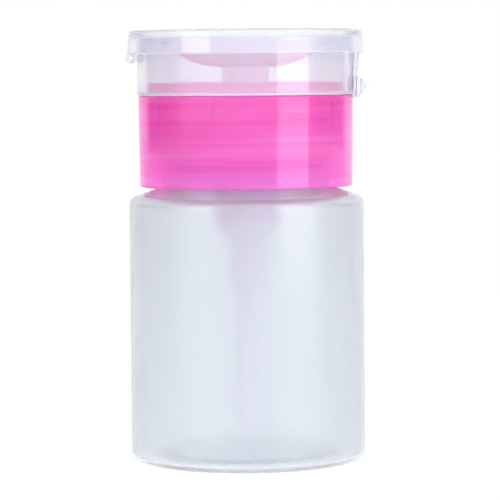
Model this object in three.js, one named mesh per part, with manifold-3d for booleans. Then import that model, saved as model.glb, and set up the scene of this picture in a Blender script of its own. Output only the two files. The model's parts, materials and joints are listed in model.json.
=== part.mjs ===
// Push-down pump bottle for nail polish remover, in millimetres, +Z up.
// The origin is the centre of the bottle's foot. The flip lid's hinge is at -X and its latch at +X.
// A frosted bottle carries a screw-on pink collar, which clamps the pump's flange on the bottle's neck.
// A clear ring snapped over the collar carries the clear flip lid on a clip-on knuckle hinge.
// Under the lid a shallow dish stands on the pump's hollow stem. Pressing the dish drives the piston down
// against its spring, and liquid rises past two ball valves and out of the nozzle's slots into the dish.
import * as THREE from "three";
import { mergeVertices } from "three/addons/utils/BufferGeometryUtils.js";
import Module from "manifold-3d";

const wasm = await Module();
wasm.setup();

// Bottle: a blown shell with a raised base, a small corner at the shoulder and a plain wide neck.
const bottleRadius = 23;
const bottleWall = 0.9;
const baseThickness = 1.1;
const footCorner = 1.5;
const footRingWidth = 3;
const basePushUp = 0.8;
const basePushRun = 1.6;
const sideHeight = 50;
const shoulderCorner = 2;
const shoulderAngle = THREE.MathUtils.degToRad(18);
const neckRadius = 16;
const neckWall = 1.1;
const neckHeight = 12.3;

// Gasket between the neck's rim and the pump's flange.
const gasketThickness = 0.8;
const gasketOverhang = 0.25;
const gasketFit = 0.15;

// Pump housing: a flanged barrel with a bush seat, a spring ledge, an inlet valve and a tube socket.
const flangeThickness = 1.2;
const flangeOverhang = 0.5;
const plugClearance = 0.4;
const plugWall = 0.9;
const plugDrop = 2.5;
const barrelBore = 5.2;
const barrelWall = 1;
const bushSeatWidth = 0.4;
const ledgeThickness = 1;
const nibHeight = 0.8;
const nibWidth = 0.8;
const nibReach = 1;
const inletThroatLength = 0.8;
const socketWall = 1.2;
const socketDepth = 6.5;
const inletThroatShare = 0.58;
const nibCount = 3;

// Guide bush: closes the barrel's top and guides the stem.
const bushRecess = 1.1;
const bushRimThickness = 1.2;
const bushLength = 5;
const bushWaist = 0.95;

// Piston on the stem's foot, its spring and the pump's stroke.
const stroke = 6;
const stemRadius = 2.6;
const stemWall = 1.1;
const stemThroatLength = 1.2;
const stemFootClearance = 0.8;
const stemFootThickness = 1;
const pistonHeight = 4.4;
const pistonLipHeight = 1.2;
const pistonWaist = 0.9;
const wireDiameter = 0.5;
const springClearance = 1.15;
const springTurns = 6;
const springDeadTurns = 0.4;
const springSpare = 0.9;

// Ball valves: the inlet ball in the housing's cage and the outlet ball on the stem's throat.
const inletBallRadius = 1.9;
const inletBallLift = 1;
const outletBallRadius = 1.5;
const outletBallLift = 0.8;
const outletThroatShare = 0.8;
const cageClearance = 0.4;

// Dip tube, pushed into the housing's socket and cut at a slant over the base.
const tubeRadius = 2.1;
const tubeWall = 0.7;
const tubeFloorGap = 1.1;
const tubeCutAngle = THREE.MathUtils.degToRad(40);

// Press dish: a bowl on a hub, with a lip round its rim.
const hubWall = 1.35;
const hubDrop = 3.5;
const hubClearance = 0.3;
const dishWall = 1;
const dishDepth = 4.6;
const dishLipWidth = 0.8;
const dishLipThickness = 0.9;
const dishRimClearance = 0.4;
const stemInset = 0.9;

// Nozzle cap: a slotted dome in the middle of the dish.
const nozzleRoom = 0.3;
const nozzleWall = 1;
const nozzleTop = 0.8;
const nozzleSeatDepth = 0.8;
const nozzleEdge = 0.5;
const slotWidth = 1;
const slotHeight = 0.6;
const slotSill = 0.1;
const slotCount = 4;

// Collar: a threaded sleeve and an outer skirt on one floor, with ribs between them.
const threadRoom = 1.2;
const sleeveWall = 1.2;
const sleeveGap = 4.95;
const moatWidth = 1.35;
const collarWall = 1.3;
const collarDraft = 0.2;
const skirtClearance = 1.1;
const floorThickness = 1.2;
const floorBoreRoom = 0.6;
const ledgeRise = 3.25;
const stepHeight = 2.5;
const collarEdge = 0.25;
const snapBead = 0.1;
const snapBeadHeight = 0.7;
const collarRibDrop = 4.6;
const collarRibWidth = 0.7;
const collarRibCount = 10;

// Lid ring: a clear wall on the collar's step, with hinge ears at one side and a catch ridge at the other.
const ringStandOut = 0.15;
const ringWall = 1.4;
const ringBead = 0.08;
const ringBeadHeight = 0.55;
const ringLeadIn = 0.5;
const ringFit = 0.2;
const ringEdge = 0.25;
const ridgeReach = 0.15;
const ridgeHeight = 0.7;
const ridgeRise = 0.5;
const ridgeWidth = 10;
const headroom = 0.35;

// Flip lid: a shallow cap with a hinge knuckle, and a latch tongue with a thumb tab.
const lidRoom = 0.75;
const lidWall = 1.15;
const lidTop = 1.3;
const lidDraft = 0.35;
const lidOverlap = 3.2;
const lidEdge = 0.5;
const tongueGap = 0.2;
const tongueWidth = 9;
const tongueLap = 0.5;
const tongueTip = 0.5;
const tongueDrop = 0.6;
const tongueHook = 0.06;
const tongueHookHeight = 0.5;
const tabReach = 2.75;
const tabTipRise = 1.6;
const tabTopRise = 3.5;
const tabRounding = 7;

// Hinge: a bar between two ears on the ring, and an open knuckle on the lid that snaps over it.
// Its axis lies this far under the lid's skirt.
const hingeDrop = 0.65;
const barRadius = 0.4;
const barClearance = 0.12;
const knuckleRadius = 1;
const knuckleWidth = 7;
const earThickness = 1.4;
const earGap = 0.25;
const hingeGap = 0.1;
const knuckleWebWidth = 0.8;
const knuckleMouthShare = 0.74;

// Seats lie face to face with this gap, and pushed-in pieces have this much room round them.
const seatGap = 0.05;
const pushFit = 0.05;
const runningFit = 0.1;
const slidingFit = 0.15;

// Cutting solids run past what they cut by this much.
const overrun = 1;

const shellSegments = 48;
const barrelSegments = 32;
const smallSegments = 24;
const cornerSteps = 3;
const bowlSteps = 7;
const coilSteps = 8;
const wireSides = 5;
const quarterTurn = Math.PI / 2;
const fullTurn = 2 * Math.PI;

// Heights of the bottle, above the floor that it stands on.
const shoulderArcEnd = quarterTurn - shoulderAngle;
const shoulderArcCentre = bottleRadius - shoulderCorner;
const shoulderEnd = pointOnArc(shoulderArcCentre, sideHeight, shoulderCorner, shoulderArcEnd);
const neckRoot = shoulderEnd[1] + (shoulderEnd[0] - neckRadius) * Math.tan(shoulderAngle);
const neckTop = neckRoot + neckHeight;
const floorTop = basePushUp + baseThickness;

// The pump's own frame starts at the top face of its flange.
const flangeTop = neckTop + seatGap + gasketThickness + seatGap + flangeThickness;
const bushTop = -bushRecess;
const bushSeat = bushTop - bushRimThickness;
const bushBottom = bushTop - bushLength;
const pistonTop = bushBottom - runningFit;
const pistonBottom = pistonTop - pistonHeight;
const footTop = pistonBottom - seatGap;
const footBottom = footTop - stemFootThickness;
const springTop = footBottom - seatGap;
const springLength = stroke + springTurns * wireDiameter + springSpare;
const springBottom = springTop - springLength;
const ledge = springBottom - seatGap;
const nibBottom = ledge - nibHeight;
const inletBallHeight = nibBottom - runningFit - inletBallLift - inletBallRadius;
const cageRadius = inletBallRadius + cageClearance;
const inletThroat = inletBallRadius * inletThroatShare;
const seatApex = inletBallHeight - inletBallRadius * Math.SQRT2 - seatGap;
const throatTop = seatApex + inletThroat;
const throatBottom = throatTop - inletThroatLength;
const socketBottom = throatBottom - socketDepth;

// The outlet ball sits on the stem's throat, in a chamber under the nozzle cap.
const stemThroat = outletBallRadius * outletThroatShare;
const chamberRadius = outletBallRadius + cageClearance;
const nozzleRadius = chamberRadius + nozzleRoom + nozzleWall;
const hubRadius = nozzleRadius + pushFit + hubWall;

// The dish's hub stops short of the bush at the end of the stroke.
const hubBottom = bushTop + stroke + hubClearance;
const bowlUnder = hubBottom + hubDrop;
const bowlTop = bowlUnder + dishWall;
const stemTop = bowlUnder - stemInset;
const outletBallHeight = stemTop + Math.sqrt(outletBallRadius ** 2 - stemThroat ** 2) + seatGap;
const nozzleBottom = bowlTop - nozzleSeatDepth + seatGap;
const nozzleInside = outletBallHeight + outletBallRadius + outletBallLift + runningFit;
const nozzlePeak = nozzleInside + nozzleTop;
const rimTop = bowlUnder + dishDepth + dishLipThickness;

// Radii from the neck outwards.
const wellRadius = neckRadius + threadRoom;
const sleeveRadius = wellRadius + sleeveWall;
const plugRadius = neckRadius - neckWall - plugClearance;
const collarRadius = sleeveRadius + moatWidth + collarWall;
const ringRadius = collarRadius + ringStandOut;
const ringBore = ringRadius - ringWall;
const stepRadius = ringBore - ringFit;
const dishRadius = wellRadius - dishRimClearance;
const lidRadius = ringRadius + lidRoom + lidWall;
const hingeReach = ringRadius + hingeGap + knuckleRadius;
const tongueInner = ringRadius + tongueGap;
const tongueRoot = lidRoom - tongueGap + tongueLap;

// The ring's own frame starts at its bottom edge, on the collar's ledge.
const collarFloorHeight = seatGap;
const skirtBore = collarRadius - collarDraft - collarWall;
const skirtBottom = shoulderHeight(skirtBore) + skirtClearance - flangeTop;
const sleeveBottom = neckRoot + sleeveGap - flangeTop;
const ringBase = collarFloorHeight + ledgeRise + seatGap;
const ringHeight = rimTop + headroom - ringBase;
const lidUnder = ringHeight + runningFit;
const lidPeak = lidUnder + lidTop;
const lidSkirtBottom = ringHeight - lidOverlap;
const hingeHeight = lidSkirtBottom - hingeDrop;
const earRadius = hingeDrop - seatGap;

/** The height of the bottle's sloping shoulder at a radius. */
function shoulderHeight(radius) {
  return neckRoot - (radius - neckRadius) * Math.tan(shoulderAngle);
}

/** The point at an angle on a circle, as a [radius, height] pair. */
function pointOnArc(centreRadius, centreHeight, arcRadius, angle) {
  return [centreRadius + arcRadius * Math.cos(angle), centreHeight + arcRadius * Math.sin(angle)];
}

/** Points along an arc, its two ends included. */
function arc(centreRadius, centreHeight, arcRadius, from, to, steps) {
  return Array.from({ length: steps + 1 }, (_, i) =>
    pointOnArc(centreRadius, centreHeight, arcRadius, from + ((to - from) * i) / steps),
  );
}

/** An outline of [radius, height] pairs turned round Z. It runs from axis to axis, or closes on itself. */
function turned(outline, segments) {
  const points = outline.map(([radius, height]) => new THREE.Vector2(radius, height));
  if (points[0].x > 0) points.push(points[0].clone());
  return new THREE.LatheGeometry(points, segments).rotateX(quarterTurn);
}

/** A rod along Z between two heights. */
function rod(radius, from, to, segments) {
  return new THREE.CylinderGeometry(radius, radius, to - from, segments)
    .rotateX(quarterTurn)
    .translate(0, 0, (from + to) / 2);
}

/** A rod along Y, centred at x and z. */
function crossRod(radius, width, x, z, segments) {
  return new THREE.CylinderGeometry(radius, radius, width, segments).translate(x, 0, z);
}

/** A block between two corners. */
function block(from, to) {
  const size = to.map((value, i) => value - from[i]);
  return new THREE.BoxGeometry(...size).translate(...from.map((value, i) => value + size[i] / 2));
}

/** A geometry as a solid that can be joined and cut. */
function solidOf(geometry) {
  const bare = geometry.clone();
  bare.deleteAttribute("normal");
  bare.deleteAttribute("uv");
  const merged = mergeVertices(bare);
  return new wasm.Manifold(
    new wasm.Mesh({
      numProp: 3,
      vertProperties: merged.attributes.position.array,
      triVerts: new Uint32Array(merged.index.array),
    }),
  );
}

/** A solid as a geometry. */
function geometryOf(solid) {
  const mesh = solid.getMesh();
  return new THREE.BufferGeometry()
    .setAttribute("position", new THREE.BufferAttribute(new Float32Array(mesh.vertProperties), 3))
    .setIndex(new THREE.BufferAttribute(new Uint32Array(mesh.triVerts), 1))
    .toNonIndexed();
}

/** A polygon in the X-Z plane, drawn out along Y about y = 0. */
function slab(corners, width) {
  const shape = new THREE.Shape(corners.map(([x, z]) => new THREE.Vector2(x, z)));
  return new THREE.ExtrudeGeometry(shape, { depth: width, bevelEnabled: false })
    .rotateX(quarterTurn)
    .translate(0, width / 2, 0);
}

function bottleGeometry() {
  const inner = bottleRadius - bottleWall;
  const footOuter = bottleRadius - footCorner;
  const footInner = footOuter - footRingWidth;
  const pushRadius = footInner - basePushRun;
  const innerCorner = footCorner - bottleWall;
  const innerShoulder = shoulderCorner - bottleWall;
  const neckBore = neckRadius - neckWall;
  const [innerEndRadius, innerEndHeight] = pointOnArc(
    shoulderArcCentre,
    sideHeight,
    innerShoulder,
    shoulderArcEnd,
  );
  const innerNeckRoot = innerEndHeight + (innerEndRadius - neckBore) * Math.tan(shoulderAngle);
  return turned(
    [
      [0, basePushUp],
      [pushRadius, basePushUp],
      [footInner, 0],
      ...arc(footOuter, footCorner, footCorner, -quarterTurn, 0, cornerSteps),
      ...arc(shoulderArcCentre, sideHeight, shoulderCorner, 0, shoulderArcEnd, cornerSteps),
      [neckRadius, neckRoot],
      [neckRadius, neckTop],
      [neckBore, neckTop],
      [neckBore, innerNeckRoot],
      ...arc(shoulderArcCentre, sideHeight, innerShoulder, shoulderArcEnd, 0, cornerSteps),
      ...arc(inner - innerCorner, baseThickness + innerCorner, innerCorner, 0, -quarterTurn, cornerSteps),
      [footInner, baseThickness],
      [pushRadius, floorTop],
      [0, floorTop],
    ],
    shellSegments,
  );
}

function gasketGeometry() {
  const inner = plugRadius + gasketFit;
  const outer = neckRadius + gasketOverhang;
  return turned(
    [
      [inner, 0],
      [outer, 0],
      [outer, gasketThickness],
      [inner, gasketThickness],
    ],
    shellSegments,
  );
}

function housingGeometry() {
  const flangeRadius = neckRadius + flangeOverhang;
  const plugBore = plugRadius - plugWall;
  const barrelRadius = barrelBore + barrelWall;
  const bushBore = barrelBore + bushSeatWidth;
  const socketBore = tubeRadius + pushFit;
  const socketRadius = socketBore + socketWall;
  const taperTop = ledge - ledgeThickness;
  const taperBottom = taperTop - (barrelRadius - socketRadius);
  const shell = turned(
    [
      [plugBore, -flangeThickness],
      [plugBore, -flangeThickness - plugDrop],
      [plugRadius, -flangeThickness - plugDrop],
      [plugRadius, -flangeThickness],
      [flangeRadius, -flangeThickness],
      [flangeRadius, 0],
      [bushBore, 0],
      [bushBore, bushSeat],
      [barrelBore, bushSeat],
      [barrelBore, ledge],
      [cageRadius, ledge],
      [cageRadius, seatApex + cageRadius],
      [inletThroat, throatTop],
      [inletThroat, throatBottom],
      [socketBore, throatBottom],
      [socketBore, socketBottom],
      [socketRadius, socketBottom],
      [socketRadius, taperBottom],
      [barrelRadius, taperTop],
      [barrelRadius, -flangeThickness],
    ],
    shellSegments,
  );
  let housing = solidOf(shell);
  const nibRoot = cageRadius + socketWall / 2;
  for (let i = 0; i < nibCount; i++) {
    const nib = block(
      [cageRadius - nibReach, -nibWidth / 2, nibBottom],
      [nibRoot, nibWidth / 2, ledge],
    ).rotateZ((fullTurn * i) / nibCount);
    housing = housing.add(solidOf(nib));
  }
  return geometryOf(housing);
}

function bushGeometry() {
  const rimRadius = barrelBore + bushSeatWidth - pushFit;
  const bodyRadius = barrelBore - pushFit;
  const bore = stemRadius + slidingFit;
  const seat = bushSeat + seatGap;
  const waist = bore + bushWaist;
  return turned(
    [
      [bore, bushBottom],
      [bodyRadius, bushBottom],
      [bodyRadius, bushBottom + bushRimThickness],
      [waist, bushBottom + bushRimThickness],
      [waist, seat - bushRimThickness / 2],
      [bodyRadius, seat - bushRimThickness / 2],
      [bodyRadius, seat],
      [rimRadius, seat],
      [rimRadius, bushTop],
      [bore, bushTop],
    ],
    barrelSegments,
  );
}

function pistonGeometry() {
  const bore = stemRadius + pushFit;
  const lip = barrelBore - runningFit;
  const waist = bore + pistonWaist;
  return turned(
    [
      [bore, pistonBottom],
      [lip, pistonBottom],
      [waist, pistonBottom + pistonLipHeight],
      [waist, pistonTop - pistonLipHeight],
      [lip, pistonTop],
      [bore, pistonTop],
    ],
    barrelSegments,
  );
}

function stemGeometry() {
  const bore = stemRadius - stemWall;
  const throatFrom = stemTop - stemThroatLength;
  const stemFootRadius = barrelBore - stemFootClearance;
  return turned(
    [
      [bore, footBottom],
      [stemFootRadius, footBottom],
      [stemFootRadius, footTop],
      [stemRadius, footTop],
      [stemRadius, stemTop],
      [stemThroat, stemTop],
      [stemThroat, throatFrom],
      [bore, throatFrom],
    ],
    smallSegments,
  );
}

/** The spring's centreline: still for a part of a turn at both ends, and rising at one rate between them. */
function springPoint(turn) {
  const springRadius = barrelBore - springClearance - wireDiameter / 2;
  const rise = springLength - wireDiameter;
  const share = (turn - springDeadTurns) / (springTurns - 2 * springDeadTurns);
  const height = springBottom + wireDiameter / 2 + rise * Math.min(1, Math.max(0, share));
  const angle = fullTurn * turn;
  return new THREE.Vector3(springRadius * Math.cos(angle), springRadius * Math.sin(angle), height);
}

function springGeometry() {
  const rings = springTurns * coilSteps;
  const positions = [];
  for (let i = 0; i <= rings; i++) {
    const centre = springPoint(i / coilSteps);
    const outwards = new THREE.Vector3(centre.x, centre.y, 0).normalize();
    for (let k = 0; k < wireSides; k++) {
      const angle = (fullTurn * k) / wireSides;
      const point = centre
        .clone()
        .addScaledVector(outwards, (wireDiameter / 2) * Math.cos(angle))
        .addScaledVector(new THREE.Vector3(0, 0, 1), (wireDiameter / 2) * Math.sin(angle));
      positions.push(point.x, point.y, point.z);
    }
  }
  const faces = [];
  for (let i = 0; i < rings; i++) {
    for (let k = 0; k < wireSides; k++) {
      const a = i * wireSides + k;
      const b = i * wireSides + ((k + 1) % wireSides);
      faces.push(a, a + wireSides, b, b, a + wireSides, b + wireSides);
    }
  }
  const last = rings * wireSides;
  for (let k = 1; k < wireSides - 1; k++) {
    faces.push(0, k, k + 1);
    faces.push(last, last + k + 1, last + k);
  }
  return new THREE.BufferGeometry()
    .setAttribute("position", new THREE.Float32BufferAttribute(positions, 3))
    .setIndex(faces);
}

/** The least gap between one turn of the spring and another. */
function leastSpringGap() {
  const points = Array.from({ length: springTurns * coilSteps + 1 }, (_, i) => springPoint(i / coilSteps));
  let least = Infinity;
  points.forEach((a, i) =>
    points.slice(i + coilSteps / 2).forEach((b) => {
      least = Math.min(least, a.distanceTo(b) - wireDiameter);
    }),
  );
  return least;
}

function tubeGeometry() {
  const top = throatBottom - seatGap;
  const bottom = floorTop + tubeFloorGap - flangeTop;
  const tube = solidOf(
    turned(
      [
        [tubeRadius - tubeWall, bottom],
        [tubeRadius, bottom],
        [tubeRadius, top],
        [tubeRadius - tubeWall, top],
      ],
      smallSegments,
    ),
  );
  const cut = (2 * tubeRadius + 2 * overrun) / Math.cos(tubeCutAngle);
  const wedge = block([-cut, -cut, -cut], [0, cut, 0])
    .rotateY(tubeCutAngle)
    .translate(tubeRadius, 0, bottom);
  return geometryOf(tube.subtract(solidOf(wedge)));
}

function dishGeometry() {
  const run = dishRadius - dishLipWidth - hubRadius;
  const under = (run ** 2 + dishDepth ** 2) / (2 * dishDepth);
  const centre = bowlUnder + under;
  const upper = under - dishWall;
  const lipUnder = bowlUnder + dishDepth;
  const underEnd = -Math.acos(run / under);
  const upperEnd = -Math.asin((centre - rimTop) / upper);
  const seatRadius = nozzleRadius + pushFit;
  const stemBore = stemRadius + pushFit;
  return turned(
    [
      [stemBore, hubBottom],
      [hubRadius, hubBottom],
      ...arc(hubRadius, centre, under, -quarterTurn, underEnd, bowlSteps),
      [dishRadius, lipUnder],
      [dishRadius, rimTop],
      ...arc(hubRadius, centre, upper, upperEnd, -quarterTurn, bowlSteps),
      [seatRadius, bowlTop],
      [seatRadius, bowlTop - nozzleSeatDepth],
      [chamberRadius, bowlTop - nozzleSeatDepth],
      [chamberRadius, stemTop + seatGap],
      [stemBore, stemTop + seatGap],
    ],
    shellSegments,
  );
}

function nozzleGeometry() {
  const inner = nozzleRadius - nozzleWall;
  let cap = solidOf(
    turned(
      [
        [inner, nozzleBottom],
        [nozzleRadius, nozzleBottom],
        ...arc(nozzleRadius - nozzleEdge, nozzlePeak - nozzleEdge, nozzleEdge, 0, quarterTurn, cornerSteps),
        [0, nozzlePeak],
        [0, nozzleInside],
        [inner, nozzleInside],
      ],
      smallSegments,
    ),
  );
  const sill = bowlTop + slotSill;
  for (let i = 0; i < slotCount; i++) {
    const slot = block(
      [0, -slotWidth / 2, sill],
      [nozzleRadius + overrun, slotWidth / 2, sill + slotHeight],
    );
    cap = cap.subtract(solidOf(slot.rotateZ((fullTurn * i) / slotCount)));
  }
  return geometryOf(cap);
}

function collarGeometry() {
  const floor = collarFloorHeight;
  const bottomRadius = collarRadius - collarDraft;
  const ledgeHeight = floor + ledgeRise;
  const moatTop = ledgeHeight - collarWall;
  const deck = ledgeHeight + stepHeight;
  const beadMiddle = ledgeHeight + stepHeight / 2;
  const floorBore = barrelBore + bushSeatWidth + floorBoreRoom;
  let collar = solidOf(
    turned(
      [
        [bottomRadius, skirtBottom],
        [collarRadius, ledgeHeight - collarEdge],
        [collarRadius - collarEdge, ledgeHeight],
        [stepRadius, ledgeHeight],
        [stepRadius, beadMiddle - snapBeadHeight / 2],
        [stepRadius + snapBead, beadMiddle],
        [stepRadius, beadMiddle + snapBeadHeight / 2],
        [stepRadius, deck],
        [wellRadius, deck],
        [wellRadius, floor + floorThickness],
        [floorBore, floor + floorThickness],
        [floorBore, floor],
        [wellRadius, floor],
        [wellRadius, sleeveBottom],
        [sleeveRadius, sleeveBottom],
        [sleeveRadius, moatTop],
        [collarRadius - collarWall, moatTop],
        [skirtBore, skirtBottom],
      ],
      shellSegments,
    ),
  );
  for (let i = 0; i < collarRibCount; i++) {
    const rib = block(
      [sleeveRadius - sleeveWall / 2, -collarRibWidth / 2, moatTop - collarRibDrop],
      [sleeveRadius + moatWidth + collarWall / 2, collarRibWidth / 2, moatTop + collarWall / 2],
    ).rotateZ((fullTurn * i) / collarRibCount);
    collar = collar.add(solidOf(rib));
  }
  return geometryOf(collar);
}

function ringGeometry() {
  const wall = solidOf(
    turned(
      [
        [ringRadius + ringBead - ringEdge, 0],
        [ringRadius + ringBead, ringEdge],
        [ringRadius + ringBead, ringBeadHeight],
        [ringRadius, ringBeadHeight + ringBead],
        [ringRadius, ringHeight - ringEdge],
        [ringRadius - ringEdge, ringHeight],
        [ringBore, ringHeight],
        [ringBore, ringLeadIn],
        [ringBore + ringLeadIn, 0],
      ],
      shellSegments,
    ),
  );
  const ridgeRoot = ringRadius - ringWall / 2;
  const ridgeBand = turned(
    [
      [ridgeRoot, ridgeRise],
      [ringRadius, ridgeRise],
      [ringRadius + ridgeReach, ridgeRise + ridgeHeight / 2],
      [ringRadius, ridgeRise + ridgeHeight],
      [ridgeRoot, ridgeRise + ridgeHeight],
    ],
    shellSegments,
  );
  const ridgeWindow = block([0, -ridgeWidth / 2, 0], [ringRadius + overrun, ridgeWidth / 2, ringHeight]);
  let ring = wall.add(solidOf(ridgeBand).intersect(solidOf(ridgeWindow)));
  const earInner = knuckleWidth / 2 + earGap;
  const earOuter = earInner + earThickness;
  const earRoot = Math.sqrt(ringRadius ** 2 - earOuter ** 2) - ringWall / 2;
  for (const side of [-1, 1]) {
    const boss = crossRod(earRadius, earThickness, -hingeReach, hingeHeight, smallSegments);
    const web = block(
      [-hingeReach, -earThickness / 2, hingeHeight - earRadius],
      [-earRoot, earThickness / 2, hingeHeight + earRadius],
    );
    const middle = (side * (earInner + earOuter)) / 2;
    ring = ring.add(solidOf(boss.translate(0, middle, 0)));
    ring = ring.add(solidOf(web.translate(0, middle, 0)));
  }
  const bar = crossRod(barRadius, 2 * earInner + earThickness, -hingeReach, hingeHeight, smallSegments);
  return geometryOf(ring.add(solidOf(bar)));
}

/** The latch tongue with its hook and thumb tab, under the lid's skirt at +X. */
function tongueSolid() {
  const hookTop = ridgeRise - seatGap;
  const tip = tongueInner + tongueTip;
  const band = turned(
    [
      [tongueInner - tongueHook, hookTop - tongueHookHeight],
      [tongueInner, -tongueDrop],
      [tip, -tongueDrop],
      [tip, tabTopRise],
      [tongueInner + tongueRoot, lidSkirtBottom],
      [tongueInner + tongueRoot, lidSkirtBottom + lidWall],
      [tongueInner, lidSkirtBottom + lidWall],
      [tongueInner, hookTop],
      [tongueInner - tongueHook, hookTop],
    ],
    shellSegments,
  );
  const window = block(
    [0, -tongueWidth / 2, -tongueDrop - overrun],
    [tongueInner + tabReach + overrun, tongueWidth / 2, lidPeak],
  );
  const tab = slab(
    [
      [tongueInner + tongueTip / 2, -tongueDrop],
      [tip, -tongueDrop],
      [tongueInner + tabReach, tabTipRise],
      [tip, tabTopRise],
      [tongueInner + tongueTip / 2, tabTopRise],
    ],
    tongueWidth,
  );
  const rounding = rod(tabRounding, -tongueDrop - overrun, lidPeak, shellSegments).translate(
    tongueInner + tabReach - tabRounding,
    0,
    0,
  );
  return solidOf(band)
    .intersect(solidOf(window))
    .add(solidOf(tab).intersect(solidOf(rounding)));
}

function lidGeometry() {
  const topRadius = lidRadius - lidDraft;
  const cap = turned(
    [
      [0, lidUnder],
      [topRadius - lidWall, lidUnder],
      [lidRadius - lidWall, lidSkirtBottom],
      [lidRadius, lidSkirtBottom],
      ...arc(topRadius - lidEdge, lidPeak - lidEdge, lidEdge, 0, quarterTurn, cornerSteps),
      [0, lidPeak],
    ],
    shellSegments,
  );
  const knuckle = crossRod(knuckleRadius, knuckleWidth, -hingeReach, hingeHeight, smallSegments);
  const web = block(
    [-hingeReach - knuckleWebWidth / 2, -knuckleWidth / 2, hingeHeight],
    [-hingeReach + knuckleWebWidth / 2, knuckleWidth / 2, lidSkirtBottom + lidWall / 2],
  );
  const bore = barRadius + barClearance;
  const mouth = bore * knuckleMouthShare;
  const mouthCut = block(
    [-hingeReach, -knuckleWidth / 2 - overrun, hingeHeight - mouth],
    [-hingeReach + knuckleRadius + overrun, knuckleWidth / 2 + overrun, hingeHeight + mouth],
  );
  const boreCut = crossRod(bore, knuckleWidth + 2 * overrun, -hingeReach, hingeHeight, smallSegments);
  return geometryOf(
    solidOf(cap)
      .add(solidOf(knuckle))
      .add(solidOf(web))
      .subtract(solidOf(boreCut))
      .subtract(solidOf(mouthCut))
      .add(tongueSolid()),
  );
}

function ballGeometry(radius) {
  return new THREE.SphereGeometry(radius, smallSegments / 2, smallSegments / 3);
}

/** A plain plastic or metal finish. */
function finish(color, roughness, metalness = 0, opacity = 1) {
  return new THREE.MeshStandardMaterial({ color, roughness, metalness, opacity, transparent: opacity < 1 });
}

const frostedPlastic = finish("#dfe3ec", 0.45, 0, 0.75);
const clearPlastic = finish("#e6e4f0", 0.15, 0, 0.5);
const dishPlastic = finish("#ede8f2", 0.25, 0, 0.8);
const pinkPlastic = finish("#f64fb0", 0.25, 0, 0.95);
const naturalPlastic = finish("#eceaf2", 0.4);
const sealFoam = finish("#f4f4f2", 0.8);
const springSteel = finish("#b9bcc0", 0.3, 1);
const valveGlass = finish("#dfe8ea", 0.1);

/** One named piece of the model. */
function piece(name, geometry, material, height = 0) {
  const mesh = new THREE.Mesh(geometry, material);
  mesh.name = name;
  mesh.position.z = height;
  return mesh;
}

const bottle = new THREE.Group();
bottle.add(piece("bottle", bottleGeometry(), frostedPlastic));

const pump = new THREE.Group();
pump.position.z = flangeTop;
pump.add(piece("neck_gasket", gasketGeometry(), sealFoam, neckTop + seatGap - flangeTop));
pump.add(piece("pump_housing", housingGeometry(), naturalPlastic));
pump.add(piece("guide_bush", bushGeometry(), naturalPlastic));
pump.add(piece("piston", pistonGeometry(), naturalPlastic));
pump.add(piece("pump_stem", stemGeometry(), naturalPlastic));
pump.add(piece("return_spring", springGeometry(), springSteel));
pump.add(piece("inlet_ball", ballGeometry(inletBallRadius), valveGlass, inletBallHeight));
pump.add(piece("outlet_ball", ballGeometry(outletBallRadius), valveGlass, outletBallHeight));
pump.add(piece("dip_tube", tubeGeometry(), naturalPlastic));
pump.add(piece("press_dish", dishGeometry(), dishPlastic));
pump.add(piece("nozzle_cap", nozzleGeometry(), dishPlastic));
pump.add(piece("pump_collar", collarGeometry(), pinkPlastic));

const top = new THREE.Group();
top.position.z = ringBase;
top.add(piece("lid_ring", ringGeometry(), clearPlastic));
top.add(piece("flip_lid", lidGeometry(), clearPlastic));
pump.add(top);

console.log(`least gap between turns of the spring: ${leastSpringGap().toFixed(2)} mm`);

const pumpBottle = new THREE.Group();
pumpBottle.add(bottle, pump);

export default pumpBottle;
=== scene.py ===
"""Looks of a push-down pump bottle for nail polish remover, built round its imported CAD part.

Sizes in the classes are millimetres in the part's own frame: +Z up, the lid's hinge at -X and its
latch at +X. Meshes, nodes and lamps are in metres.
"""

from __future__ import annotations

import json
import logging
import math
from abc import ABC, abstractmethod
from dataclasses import dataclass
from enum import Enum
from functools import cache
from typing import Any

import bmesh
import bpy
from mathutils import Matrix, Vector


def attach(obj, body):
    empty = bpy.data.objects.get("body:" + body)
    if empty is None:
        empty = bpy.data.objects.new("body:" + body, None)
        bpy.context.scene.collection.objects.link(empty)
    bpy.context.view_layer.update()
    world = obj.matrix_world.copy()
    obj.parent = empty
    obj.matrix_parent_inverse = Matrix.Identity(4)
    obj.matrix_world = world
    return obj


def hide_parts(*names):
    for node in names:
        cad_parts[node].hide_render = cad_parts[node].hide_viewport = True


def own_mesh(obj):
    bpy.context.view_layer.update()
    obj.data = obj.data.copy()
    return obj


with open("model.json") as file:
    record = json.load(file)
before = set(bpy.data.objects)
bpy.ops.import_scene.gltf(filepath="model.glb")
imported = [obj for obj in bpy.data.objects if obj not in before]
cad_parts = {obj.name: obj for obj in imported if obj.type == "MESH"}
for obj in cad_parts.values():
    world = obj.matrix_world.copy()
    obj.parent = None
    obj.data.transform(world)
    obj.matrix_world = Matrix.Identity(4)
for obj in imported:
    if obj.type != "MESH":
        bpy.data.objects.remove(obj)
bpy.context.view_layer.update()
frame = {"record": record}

log = logging.getLogger("pump_bottle")

MM = 0.001
FULL_TURN = 2 * math.pi
QUARTER_TURN = math.pi / 2
TINY = 1e-6

# How finely round shapes are divided, and where their shading breaks.
ROUND_SEGMENTS = 192
BARREL_SEGMENTS = 96
SMALL_SEGMENTS = 64
BOW_STEPS = 24
FEWEST_STEPS = 2
ROUNDING_STEP = math.radians(15)
SHARP_ANGLE = math.radians(32)

# The most of a line that the rounding at one of its ends takes up.
ROUNDING_SHARE = 0.49

# Where a long line gets its two extra points, and which lines are long, in millimetres.
SUPPORT = 0.15
SUPPORTED_LENGTH = 1.2

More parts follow.
